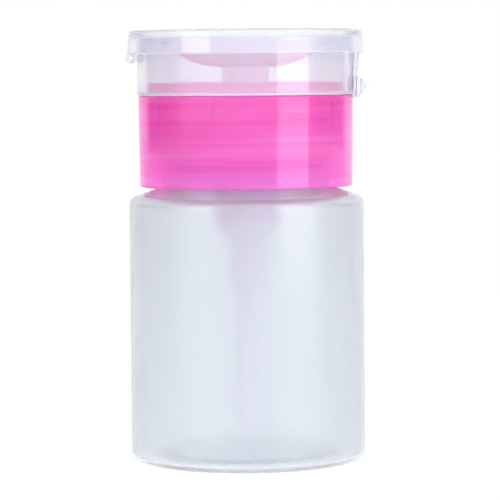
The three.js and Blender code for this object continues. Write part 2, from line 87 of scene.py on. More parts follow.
# How far a cutter reaches past what it cuts, and how far a joined piece stays inside the
# other, in millimetres.
OVERRUN = 1.0
INSET = 0.02

# How thick a coil's wire is at its very tip, as a share of the whole.
TIP_SHARE = 0.02

# The value that a noise pattern lies about.
NOISE_MIDDLE = 0.5

# The stem's radius, which the bush, the piston and the dish fit, in millimetres.
STEM_RADIUS = 2.6

Triple = tuple[float, float, float]


class Body(str, Enum):
    """The part's moving bodies."""

    BOTTLE = "bottle"
    PUMP = "pump_unit"
    COLLAR = "collar"
    LID = "lid"
    DISH = "dish"
    INLET = "inlet_valve"
    OUTLET = "outlet_valve"


class Slot(str, Enum):
    """The record's material slots."""

    FROSTED = "frosted_plastic"
    PINK = "pink_plastic"
    CLEAR = "clear_plastic"
    DISH = "dish_plastic"
    NATURAL = "natural_plastic"
    FOAM = "seal_foam"
    STEEL = "spring_steel"
    GLASS = "valve_glass"


class Combine(str, Enum):
    """Ways to combine two closed meshes."""

    JOIN = "UNION"
    CUT = "DIFFERENCE"
    KEEP = "INTERSECT"


class Rounding(float, Enum):
    """How far an edge or an inner corner is rounded, in millimetres."""

    HAIR = 0.05
    CRISP = 0.1
    FINE = 0.15
    SMALL = 0.2
    EASED = 0.25
    SOFT = 0.3
    BROAD = 0.4
    FULL = 0.5


# Node trees


class Wire:
    """A node's output that Python's operators work on."""

    def __init__(self, graph: Graph, socket: bpy.types.NodeSocket) -> None:
        """Wraps one output socket.

        Args:
            graph: The tree that the socket is in.
            socket: The output socket.
        """
        self.graph = graph
        self.socket = socket

    def __getitem__(self, name: str) -> Wire:
        """Another output of the same node."""
        return Wire(self.graph, self.socket.node.outputs[name])

    def maths(self, operation: str, *values: Any) -> Wire:
        """Adds a Math node on these values, in their order."""
        return self.graph.add("ShaderNodeMath", {"operation": operation}, dict(enumerate(values)))

    def __add__(self, other: Any) -> Wire:
        """The sum."""
        return self.maths("ADD", self, other)

    def __radd__(self, other: Any) -> Wire:
        """The sum, from the right."""
        return self.maths("ADD", other, self)

    def __sub__(self, other: Any) -> Wire:
        """The difference."""
        return self.maths("SUBTRACT", self, other)

    def __rsub__(self, other: Any) -> Wire:
        """The difference, from the right."""
        return self.maths("SUBTRACT", other, self)

    def __mul__(self, other: Any) -> Wire:
        """The product."""
        return self.maths("MULTIPLY", self, other)

    def __rmul__(self, other: Any) -> Wire:
        """The product, from the right."""
        return self.maths("MULTIPLY", other, self)

    def __truediv__(self, other: Any) -> Wire:
        """The quotient."""
        return self.maths("DIVIDE", self, other)

    def clamped(self) -> Wire:
        """The value, kept between 0 and 1."""
        return self.graph.add("ShaderNodeClamp", {}, {"Value": self})


class Graph:
    """A node tree that is filled through one method."""

    def __init__(self, tree: bpy.types.NodeTree) -> None:
        """Wraps a tree."""
        self.tree = tree

    def add(
        self,
        kind: str,
        settings: dict[str, Any] | None = None,
        values: dict[int | str, Any] | None = None,
    ) -> Wire:
        """Adds a node.

        Args:
            kind: The node's type.
            settings: Its settings, set first.
            values: Values or wires by the name or the number of the input.

        Returns:
            The node's first output in use.
        """
        node = self.tree.nodes.new(kind)
        for key, value in (settings or {}).items():
            setattr(node, key, value)
        for key, value in (values or {}).items():
            socket = self._input(node, key)
            if isinstance(value, Wire):
                self.tree.links.new(value.socket, socket)
            else:
                socket.default_value = value
        shown = [socket for socket in node.outputs if socket.enabled]
        return Wire(self, shown[0] if shown else None)

    @staticmethod
    def _input(node: bpy.types.Node, key: int | str) -> bpy.types.NodeSocket:
        """A node's input in use, by its number or its name.

        Args:
            node: The node.
            key: The input's number or its name.

        Returns:
            The input.
        """
        if isinstance(key, int):
            return node.inputs[key]
        return next(socket for socket in node.inputs if socket.name == key and socket.enabled)


class ShapeTree(Graph):
    """A Geometry Nodes tree with named inputs, which ends in one plain mesh with a material."""

    def __init__(self, name: str, inputs: dict[str, str]) -> None:
        """Makes the tree and its inputs.

        Args:
            name: The tree's name.
            inputs: The kind of socket of each named input.
        """
        super().__init__(bpy.data.node_groups.new(name, "GeometryNodeTree"))
        self.identifiers: dict[str, str] = {}
        for label, kind in {**inputs, "Material": "NodeSocketMaterial"}.items():
            socket = self.tree.interface.new_socket(label, in_out="INPUT", socket_type=kind)
            self.identifiers[label] = socket.identifier
        self.tree.interface.new_socket("Mesh", in_out="OUTPUT", socket_type="NodeSocketGeometry")
        self.given = self.add("NodeGroupInput")

    def end(self, mesh: Wire) -> None:
        """Closes the tree: instances become mesh and get the material.

        Args:
            mesh: What the tree has made.
        """
        real = self.add("GeometryNodeRealizeInstances", {}, {"Geometry": mesh})
        dressed = self.add(
            "GeometryNodeSetMaterial", {}, {"Geometry": real, "Material": self.given["Material"]}
        )
        self.add("NodeGroupOutput", {}, {"Mesh": dressed})

    def make(self, name: str, values: dict[str, Any]) -> bpy.types.Object:
        """Runs the tree once.

        Args:
            name: The new object's name.
            values: A value for each named input.

        Returns:
            A plain mesh object with no modifier.
        """
        obj = Shape.obj(name, bpy.data.meshes.new(name))
        modifier = obj.modifiers.new("shape", "NODES")
        modifier.node_group = self.tree
        for label, value in values.items():
            modifier[self.identifiers[label]] = value
        Shape.settle(obj)
        Shape.face_outwards(obj.data)
        return obj


class CoilTree(ShapeTree):
    """A round wire along a helix. Its end turns may lie flat, and its ends may taper off."""

    def __init__(self) -> None:
        """Builds the tree."""
        numbers = ("Turns", "Flat Turns", "Fade Turns", "Radius", "Rise", "Start", "Phase", "Wire")
        kinds = {label: "NodeSocketFloat" for label in numbers}
        kinds |= {label: "NodeSocketInt" for label in ("Steps", "Sides")}
        super().__init__("coil", kinds)
        given = self.given
        share = self.add("GeometryNodeInputIndex") / given["Steps"]
        turn = share * given["Turns"]
        climbing = given["Turns"] - 2 * given["Flat Turns"]
        climb = ((turn - given["Flat Turns"]) / climbing).clamped()
        angle = turn * FULL_TURN + given["Phase"]
        place = self.add(
            "ShaderNodeCombineXYZ",
            {},
            {
                "X": given["Radius"] * angle.maths("COSINE", angle),
                "Y": given["Radius"] * angle.maths("SINE", angle),
                "Z": given["Start"] + given["Rise"] * climb,
            },
        )
        line = self.add("GeometryNodeMeshLine", {}, {"Count": given["Steps"] + 1})
        path = self.add("GeometryNodeSetPosition", {}, {"Geometry": line, "Position": place})
        curve = self.add("GeometryNodeMeshToCurve", {}, {"Mesh": path})
        upright = self.add("GeometryNodeSetCurveNormal", {"mode": "Z_UP"}, {"Curve": curve})
        fade_in = turn / given["Fade Turns"]
        fade_out = (given["Turns"] - turn) / given["Fade Turns"]
        fade = (fade_in.maths("MINIMUM", fade_in, fade_out) + TIP_SHARE).clamped()
        section = self.add(
            "GeometryNodeCurvePrimitiveCircle",
            {"mode": "RADIUS"},
            {"Resolution": given["Sides"], "Radius": given["Wire"]},
        )
        self.end(
            self.add(
                "GeometryNodeCurveToMesh",
                {},
                {"Curve": upright, "Profile Curve": section, "Scale": fade, "Fill Caps": True},
            )
        )


class WheelTree(ShapeTree):
    """Equal blocks set out round Z."""

    def __init__(self) -> None:
        """Builds the tree."""
        kinds = {"Count": "NodeSocketInt"}
        kinds |= {label: "NodeSocketVector" for label in ("Size", "Centre")}
        super().__init__("wheel", kinds)
        given = self.given
        block = self.add("GeometryNodeMeshCube", {}, {"Size": given["Size"]})
        placed = self.add(
            "GeometryNodeTransform", {}, {"Geometry": block, "Translation": given["Centre"]}
        )
        points = self.add(
            "GeometryNodeMeshLine", {}, {"Count": given["Count"], "Offset": (0.0, 0.0, 0.0)}
        )
        angle = self.add("GeometryNodeInputIndex") * FULL_TURN / given["Count"]
        euler = self.add("ShaderNodeCombineXYZ", {}, {"Z": angle})
        turned = self.add("FunctionNodeEulerToRotation", {}, {"Euler": euler})
        self.end(
            self.add(
                "GeometryNodeInstanceOnPoints",
                {},
                {"Points": points, "Instance": placed, "Rotation": turned},
            )
        )


# Meshes


class Outline:
    """A closed outline in millimetres. Its corners may be rounded."""

    def __init__(self) -> None:
        """Starts with no corners."""
        self.corners: list[tuple[Vector, float]] = []

    def to(self, across: float, up: float, rounding: float = 0.0) -> Outline:
        """Adds a corner.

        Args:
            across: Its radius, or its x.
            up: Its height.
            rounding: The radius that it is rounded to.

        Returns:
            This outline.
        """
        self.corners.append((Vector((across, up)), rounding))
        return self

    def bow(
        self,
        across: float,
        up: float,
        radius: float,
        start: float,
        end: float,
        steps: int = BOW_STEPS,
    ) -> Outline:
        """Adds points along an arc.

        Args:
            across: Where its centre is, across.
            up: Where its centre is, up.
            radius: Its radius.
            start: Its first angle.
            end: Its last angle.
            steps: How many steps it has.

        Returns:
            This outline.
        """
        for i in range(steps + 1):
            angle = start + (end - start) * i / steps
            self.to(across + radius * math.cos(angle), up + radius * math.sin(angle))
        return self

    def points(self) -> list[Vector]:
        """The outline's points, with its rounded corners drawn out.

        Returns:
            The points, in the order of the corners.
        """
        made: list[Vector] = []
        count = len(self.corners)
        for i, (corner, rounding) in enumerate(self.corners):
            before = self.corners[i - 1][0] - corner
            after = self.corners[(i + 1) % count][0] - corner
            if rounding < TINY:
                made.append(corner)
                continue
            half = before.angle(after) / 2
            room = ROUNDING_SHARE * min(before.length, after.length)
            reach = min(rounding / math.tan(half), room)
            radius = reach * math.tan(half)
            u, v = before.normalized(), after.normalized()
            centre = corner + (u + v).normalized() * (radius / math.sin(half))
            first, last = corner + u * reach - centre, corner + v * reach - centre
            turn = first.angle_signed(last)
            steps = max(FEWEST_STEPS, math.ceil(abs(turn) / ROUNDING_STEP))
            for k in range(steps + 1):
                made.append(centre + Matrix.Rotation(-turn * k / steps, 2) @ first)
        return made

    def supported_points(self) -> list[Vector]:
        """The points, with one more near each end of a long line, which keeps its shading flat.

        Returns:
            The points, in the same order.
        """
        points = self.points()
        made: list[Vector] = []
        for point, after in zip(points, points[1:] + points[:1]):
            made.append(point)
            way = after - point
            on_axis = point.x < TINY and after.x < TINY
            if way.length > SUPPORTED_LENGTH and not on_axis:
                made.append(point + way.normalized() * SUPPORT)
                made.append(after - way.normalized() * SUPPORT)
        return made


class Shape:
    """Tools that make and combine closed meshes."""

    @staticmethod
    def obj(name: str, mesh: bpy.types.Mesh) -> bpy.types.Object:
        """Puts a mesh in the scene.

        Args:
            name: The object's name.
            mesh: Its mesh.

        Returns:
            The new object.
        """
        made = bpy.data.objects.new(name, mesh)
        bpy.context.scene.collection.objects.link(made)
        return made

    @staticmethod
    def settle(obj: bpy.types.Object) -> None:
        """Replaces an object's mesh by what its modifiers make of it.

        Args:
            obj: The object.
        """
        bpy.context.view_layer.update()
        graph = bpy.context.evaluated_depsgraph_get()
        mesh = bpy.data.meshes.new_from_object(obj.evaluated_get(graph))
        obj.modifiers.clear()
        old = obj.data
        obj.data = mesh
        bpy.data.meshes.remove(old)

    @staticmethod
    def face_outwards(mesh: bpy.types.Mesh) -> None:
        """Turns a closed mesh's faces outwards where they face inwards.

        Args:
            mesh: The mesh.
        """
        work = bmesh.new()
        work.from_mesh(mesh)
        if work.calc_volume(signed=True) < 0:
            bmesh.ops.reverse_faces(work, faces=work.faces)
        work.to_mesh(mesh)
        work.free()

    @staticmethod
    def turned(name: str, outline: Outline, segments: int = ROUND_SEGMENTS) -> bpy.types.Object:
        """Turns an outline of radii and heights round Z.

        Args:
            name: The object's name.
            outline: The outline. It closes on itself or runs from axis to axis.
            segments: How many segments the turn has.

        Returns:
            A closed mesh object.
        """
        work = bmesh.new()
        rings = []
        for radius, height in outline.supported_points():
            count = 1 if radius < TINY else segments
            angles = [FULL_TURN * i / segments for i in range(count)]
            places = [(radius * math.cos(a), radius * math.sin(a), height) for a in angles]
            rings.append([work.verts.new((x * MM, y * MM, z * MM)) for x, y, z in places])
        for one, two in zip(rings, rings[1:] + rings[:1]):
            if len(one) == len(two) == 1:
                continue
            for i in range(segments):
                j = (i + 1) % segments
                near = [one[i % len(one)], one[j % len(one)]]
                far = [two[j % len(two)], two[i % len(two)]]
                work.faces.new(list(dict.fromkeys(near + far)))
        mesh = bpy.data.meshes.new(name)
        work.to_mesh(mesh)
        work.free()
        Shape.face_outwards(mesh)
        return Shape.obj(name, mesh)

    @staticmethod
    def prism(name: str, outline: Outline, width: float) -> bpy.types.Object:
        """Draws an outline in X and Z out along Y, about y = 0.

        Args:
            name: The object's name.
            outline: The outline of x and z.
            width: How wide it is along Y.

        Returns:
            A closed mesh object.
        """
        work = bmesh.new()
        sides = [
            [work.verts.new((x * MM, y * MM, z * MM)) for x, z in outline.points()]
            for y in (-width / 2, width / 2)
        ]
        work.faces.new(sides[0])
        work.faces.new(sides[1][::-1])
        count = len(sides[0])
        for i in range(count):
            j = (i + 1) % count
            work.faces.new([sides[0][i], sides[1][i], sides[1][j], sides[0][j]])
        bmesh.ops.recalc_face_normals(work, faces=work.faces)
        mesh = bpy.data.meshes.new(name)
        work.to_mesh(mesh)
        work.free()
        Shape.face_outwards(mesh)
        return Shape.obj(name, mesh)

    @staticmethod
    def box(name: str, low: Triple, high: Triple) -> bpy.types.Object:
        """Makes a block that cuts or trims.

        Args:
            name: The object's name.
            low: Its lowest corner.
            high: Its highest corner.

        Returns:
            A closed mesh object.
        """
        outline = (
            Outline()
            .to(low[0], low[2])
            .to(high[0], low[2])
            .to(high[0], high[2])
            .to(low[0], high[2])
        )
        made = Shape.prism(name, outline, high[1] - low[1])
        made.data.transform(Matrix.Translation((0, (low[1] + high[1]) / 2 * MM, 0)))
        return made

    @staticmethod
    def combine(base: bpy.types.Object, tool: bpy.types.Object, way: Combine) -> bpy.types.Object:
        """Joins, cuts or trims a mesh by another, which is used up.

        Args:
            base: The object that changes.
            tool: The object that it is combined with.
            way: How.

        Returns:
            The base object.
        """
        modifier = base.modifiers.new("combine", "BOOLEAN")
        modifier.operation = way.value
        modifier.solver = "EXACT"
        modifier.object = tool
        Shape.settle(base)
        used = tool.data
        bpy.data.objects.remove(tool)
        bpy.data.meshes.remove(used)
        return base


# Finishes


@dataclass(frozen=True)
class Colour:
    """A colour as a picture writes it, from 0 to 255."""

    red: float
    green: float
    blue: float

    def linear(self) -> tuple[float, float, float, float]:
        """The colour as nodes take it.

        Returns:
            Red, green, blue and an alpha of 1.
        """
        parts = [part / 255 for part in (self.red, self.green, self.blue)]
        # These numbers are the sRGB standard's.
        made = [p / 12.92 if p <= 0.04045 else ((p + 0.055) / 1.055) ** 2.4 for p in parts]
        return (made[0], made[1], made[2], 1.0)

    def absorption(self) -> tuple[float, ...]:
        """How much of each light a metre takes away, where a millimetre leaves this colour."""
        return tuple(-math.log(part) / MM for part in self.linear()[:3])


@dataclass(frozen=True)
class Pattern:
    """A noise pattern on a piece: how many of its features lie in a metre along X, Y and Z."""

    across: float
    along: float
    up: float
    detail: float = 3.0

    def draw(self, graph: Graph) -> Wire:
        """The pattern's value, about 0.5.

        Args:
            graph: The material's tree.

        Returns:
            The value, from 0 to 1.
        """
        places = graph.add("ShaderNodeTexCoord")["Object"]
        scaled = graph.add(
            "ShaderNodeMapping", {}, {"Vector": places, "Scale": (self.across, self.along, self.up)}
        )
        return graph.add(
            "ShaderNodeTexNoise", {}, {"Vector": scaled, "Scale": 1.0, "Detail": self.detail}
        )


@dataclass(frozen=True)
class Finish(ABC):
    """A material's name and its plain values."""

    name: str
    colour: Colour
    second: Colour
    roughness: float
    unevenness: float

    @abstractmethod
    def paint(self, graph: Graph) -> dict[str, Any]:
        """The values and wires of the surface shader's inputs."""

    def depth(self, graph: Graph) -> dict[str, Wire]:
        """What the material's output takes beside the surface: nothing, on an opaque finish."""
        return {}

    def blend(self, graph: Graph, mask: Wire) -> Wire:
        """The two colours, mixed by a mask.

        Args:
            graph: The material's tree.
            mask: How much of the second colour shows.

        Returns:
            The mixed colour.
        """
        return graph.add(
            "ShaderNodeMix",
            {"data_type": "RGBA"},
            {"Factor": mask, "A": self.colour.linear(), "B": self.second.linear()},
        )

    def uneven(self, mask: Wire) -> Wire:
        """The roughness, which a mask makes uneven."""
        return self.roughness - self.unevenness / 2 + mask * self.unevenness

    @staticmethod
    def bump(graph: Graph, height: Wire, strength: float, depth: float) -> Wire:
        """A bump in the surface.

        Args:
            graph: The material's tree.
            height: The height, from 0 to 1.
            strength: How much of it shows.
            depth: How deep it is, in millimetres.

        Returns:
            The surface's normal.
        """
        return graph.add(
            "ShaderNodeBump", {}, {"Strength": strength, "Distance": depth * MM, "Height": height}
        )


@dataclass(frozen=True)
class Moulded(Finish):
    """A moulded plastic that light passes through: clear, milky or tinted.

    Its tint is what a millimetre of it leaves of white light.
    """

    clearness: float
    flow: Pattern
    grain: Pattern
    relief: float
    relief_depth: float = 0.05
    refraction: float = 1.5
    tint: Colour | None = None
    gloss: float = 0.0
    gloss_roughness: float = 0.1
    contrast: float = 1.6

    def paint(self, graph: Graph) -> dict[str, Any]:
        """Colour and roughness follow the plastic's flow, and a fine grain gives its skin.

        Args:
            graph: The material's tree.

        Returns:
            The surface shader's inputs, by their names.
        """
        flow = self.flow.draw(graph)
        mask = ((flow - NOISE_MIDDLE) * self.contrast + NOISE_MIDDLE).clamped()
        return {
            "Base Color": self.blend(graph, mask),
            "Roughness": self.uneven(mask),
            "IOR": self.refraction,
            "Transmission Weight": self.clearness,
            "Coat Weight": self.gloss,
            "Coat Roughness": self.gloss_roughness,
            "Normal": self.bump(graph, self.grain.draw(graph), self.relief, self.relief_depth),
        }

    def depth(self, graph: Graph) -> dict[str, Wire]:
        """A tinted plastic takes up light all along its way through.

        Args:
            graph: The material's tree.

        Returns:
            The volume, or nothing where there is no tint.
        """
        if self.tint is None:
            return {}
        taken = self.tint.absorption()
        density = max(taken)
        colour = tuple(1 - part / density for part in taken)
        volume = graph.add(
            "ShaderNodeVolumeAbsorption", {}, {"Color": (*colour, 1.0), "Density": density}
        )
        return {"Volume": volume}


@dataclass(frozen=True)
class DrawnWire(Finish):
    """Drawn steel wire: fine scratches and a slightly uneven shine."""

    scratches: Pattern
    relief: float = 0.2
    relief_depth: float = 0.02

    def paint(self, graph: Graph) -> dict[str, Any]:
        """A metal whose colour, roughness and relief follow its scratches.

        Args:
            graph: The material's tree.

        Returns:
            The surface shader's inputs, by their names.
        """
        marks = self.scratches.draw(graph)
        return {
            "Base Color": self.blend(graph, marks),
            "Metallic": 1.0,
            "Roughness": self.uneven(marks),
            "Normal": self.bump(graph, marks, self.relief, self.relief_depth),
        }


@dataclass(frozen=True)
class Foam(Finish):
    """Closed-cell foam, with its cells in colour and relief."""

    cells: float
    relief: float = 0.4
    relief_depth: float = 0.1

    def paint(self, graph: Graph) -> dict[str, Any]:
        """A matt surface with small round cells.

        Args:
            graph: The material's tree.

        Returns:
            The surface shader's inputs, by their names.
        """
        places = graph.add("ShaderNodeTexCoord")["Object"]
        cell = graph.add("ShaderNodeTexVoronoi", {}, {"Vector": places, "Scale": self.cells})
        mask = cell.clamped()
        return {
            "Base Color": self.blend(graph, mask),
            "Roughness": self.uneven(mask),
            "Normal": self.bump(graph, mask, self.relief, self.relief_depth),
        }


FROSTED = Moulded(
    name="frosted_bottle",
    colour=Colour(238, 242, 246),
    second=Colour(235, 239, 244),
    roughness=0.24,
    unevenness=0.04,
    clearness=0.9,
    flow=Pattern(90, 90, 25),
    grain=Pattern(2600, 2600, 2600, 2.0),
    relief=0.12,
    gloss=0.18,
    gloss_roughness=0.12,
)
PINK = Moulded(
    name="pink_collar",
    colour=Colour(255, 162, 243),
    second=Colour(255, 116, 229),
    roughness=0.06,
    unevenness=0.02,
    clearness=0.7,
    flow=Pattern(24, 24, 680, 1.5),
    grain=Pattern(700, 700, 1500, 2.0),
    relief=0.05,
    tint=Colour(254.9, 238, 250),
    contrast=1.9,
)
CLEAR = Moulded(
    name="clear_lid",
    colour=Colour(248, 250, 255),
    second=Colour(246, 248, 254),
    roughness=0.06,
    unevenness=0.04,
    clearness=0.78,
    flow=Pattern(70, 70, 140),
    grain=Pattern(500, 500, 900, 2.0),
    relief=0.05,
)
BOWL = Moulded(
    name="milky_dish",
    colour=Colour(255, 251, 255),
    second=Colour(254, 250, 255),
    roughness=0.15,
    unevenness=0.08,
    clearness=0.6,
    flow=Pattern(120, 120, 120),
    grain=Pattern(1800, 1800, 1800, 2.0),
    relief=0.08,
)
NATURAL = Moulded(
    name="natural_pump",
    colour=Colour(253, 251, 255),
    second=Colour(251, 248, 254),
    roughness=0.15,
    unevenness=0.08,
    clearness=0.4,
    flow=Pattern(160, 160, 60),
    grain=Pattern(1800, 1800, 1800, 2.0),
    relief=0.08,
)
GLASS = Moulded(
    name="valve_glass",
    colour=Colour(240, 246, 247),
    second=Colour(246, 250, 250),
    roughness=0.04,
    unevenness=0.04,
    refraction=1.52,
    clearness=0.98,
    flow=Pattern(300, 300, 300),
    grain=Pattern(900, 900, 900, 2.0),
    relief=0.02,
)
STEEL = DrawnWire(
    name="spring_steel",
    colour=Colour(176, 179, 184),
    second=Colour(205, 207, 210),
    roughness=0.34,
    unevenness=0.1,
    scratches=Pattern(400, 400, 4000),
)
SEAL = Foam(
    name="seal_foam",
    colour=Colour(246, 246, 243),
    second=Colour(232, 232, 230),
    roughness=0.8,
    unevenness=0.1,
    cells=2500.0,
)


def emptied(owner: bpy.types.Material | bpy.types.World) -> Graph:
    """Gives a material or a world an empty tree.

    Args:
        owner: The material or the world.

    Returns:
        The tree.
    """
    owner.use_nodes = True
    owner.node_tree.nodes.clear()
    return Graph(owner.node_tree)


@cache
def material_of(finish: Finish) -> bpy.types.Material:
    """Makes a finish's material.

    Args:
        finish: The finish.

    Returns:
        One material, the same each time.
    """
    material = bpy.data.materials.new(finish.name)
    graph = emptied(material)
    surface = graph.add("ShaderNodeBsdfPrincipled", {}, finish.paint(graph))
    graph.add("ShaderNodeOutputMaterial", {}, {"Surface": surface, **finish.depth(graph)})
    material.diffuse_color = finish.colour.linear()
    return material


def hand_over(obj: bpy.types.Object, body: Body, finish: Finish, node: str) -> None:
    """Dresses a finished piece and ties it to the part.

    Args:
        obj: The piece, at the origin with its place in its mesh.
        body: The body that it moves with.
        finish: Its finish.
        node: The CAD node that it stands for.
    """
    mesh = obj.data
    mesh.materials.clear()
    mesh.materials.append(material_of(finish))
    mesh.polygons.foreach_set("material_index", [0] * len(mesh.polygons))
    mesh.shade_smooth()
    mesh.set_sharp_from_angle(angle=SHARP_ANGLE)
    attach(obj, body.value)
    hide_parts(node)
    faces = len(mesh.polygons)
    log.info("%s rides on %s and stands for %s: %d faces", obj.name, body.value, node, faces)


# The pieces


@dataclass
class Tools:
    """What several pieces use: the Geometry Nodes trees, and the screw thread's sizes."""

    coil: CoilTree
    wheel: WheelTree
    pitch: float
    thread_start: float = 59.9
    thread_turns: float = 1.2
    thread_fade: float = 0.08
    thread_steps: int = 96
    thread_sides: int = 12

    def thread(self, name: str, radius: float, ridge: float, phase: float) -> bpy.types.Object:
        """A thread's ridge.

        Args:
            name: The object's name.
            radius: The radius of the ridge's centreline.
            ridge: The ridge's own radius.
            phase: The angle at which it starts.

        Returns:
            A closed mesh object.
        """
        return self.coil.make(
            name,
            {
                "Turns": self.thread_turns,
                "Flat Turns": 0.0,
                "Fade Turns": self.thread_fade,
                "Radius": radius * MM,
                "Rise": self.thread_turns * self.pitch * MM,
                "Start": self.thread_start * MM,
                "Phase": phase,
                "Wire": ridge * MM,
                "Steps": round(self.thread_turns * self.thread_steps),
                "Sides": self.thread_sides,
            },
        )

    def blocks(self, name: str, count: int, size: Triple, centre: Triple) -> bpy.types.Object:
        """Equal blocks, set out round Z.

        Args:
            name: The object's name.
            count: How many there are.
            size: The size of one.
            centre: Where the first one's centre is.

        Returns:
            A mesh object of separate closed blocks.
        """
        return self.wheel.make(
            name,
            {
                "Count": count,
                "Size": tuple(part * MM for part in size),
                "Centre": tuple(part * MM for part in centre),
            },
        )


@dataclass
class Bottle:
    """The frosted blown bottle with its threaded neck."""

    tools: Tools
    radius: float = 23.0
    wall: float = 0.9
    foot_corner: float = 1.5
    foot_inner: float = 18.5
    push_radius: float = 16.9
    push_up: float = 0.8
    base: float = 1.1
    side: float = 50.0
    shoulder_corner: float = 2.0
    shoulder_angle: float = math.radians(72)
    neck_root: float = 53.727
    inner_neck_root: float = 53.138
    neck_radius: float = 16.0
    neck_bore: float = 14.9
    neck_top: float = 66.027
    thread_inset: float = 0.05
    thread_ridge: float = 0.65
    thread_phase: float = 0.0
    push_rounding: float = 1.4
    foot_rounding: float = 0.9
    root_rounding: float = 0.7
    inner_root_rounding: float = 0.9
    foot_steps: int = 10
    inner_foot_steps: int = 8
    shoulder_steps: int = 14

    def outline(self) -> Outline:
        """The shell's outline, from the axis under the base to the axis over it.

        Returns:
            An outline of radii and heights.
        """
        outer, corner = self.radius, self.foot_corner
        inner_corner = corner - self.wall
        inner_foot = self.base + inner_corner
        bend = self.shoulder_corner
        inner_bend = bend - self.wall
        shoulder = outer - bend
        return (
            Outline()
            .to(0, self.push_up)
            .to(self.push_radius, self.push_up, self.push_rounding)
            .to(self.foot_inner, 0, self.foot_rounding)
            .bow(outer - corner, corner, corner, -QUARTER_TURN, 0, self.foot_steps)
            .bow(shoulder, self.side, bend, 0, self.shoulder_angle, self.shoulder_steps)
            .to(self.neck_radius, self.neck_root, self.root_rounding)
            .to(self.neck_radius, self.neck_top, Rounding.SMALL)
            .to(self.neck_bore, self.neck_top, Rounding.SMALL)
            .to(self.neck_bore, self.inner_neck_root, self.inner_root_rounding)
            .bow(shoulder, self.side, inner_bend, self.shoulder_angle, 0, self.shoulder_steps)
            .bow(outer - corner, inner_foot, inner_corner, 0, -QUARTER_TURN, self.inner_foot_steps)
            .to(self.foot_inner, self.base, self.foot_rounding)
            .to(self.push_radius, self.push_up + self.base, self.push_rounding)
            .to(0, self.push_up + self.base)
        )

    def build(self) -> bpy.types.Object:
        """Builds the shell with its neck thread.

        Returns:
            The bottle, a closed mesh object.
        """
        shell = Shape.turned("bottle_shell", self.outline())
        ridge = self.tools.thread(
            "neck_thread",
            self.neck_radius + self.thread_inset,
            self.thread_ridge,
            self.thread_phase,
        )
        return Shape.combine(shell, ridge, Combine.JOIN)

    def dress(self) -> None:
        """Builds the bottle and hands it over."""
        hand_over(self.build(), Body.BOTTLE, FROSTED, "bottle")


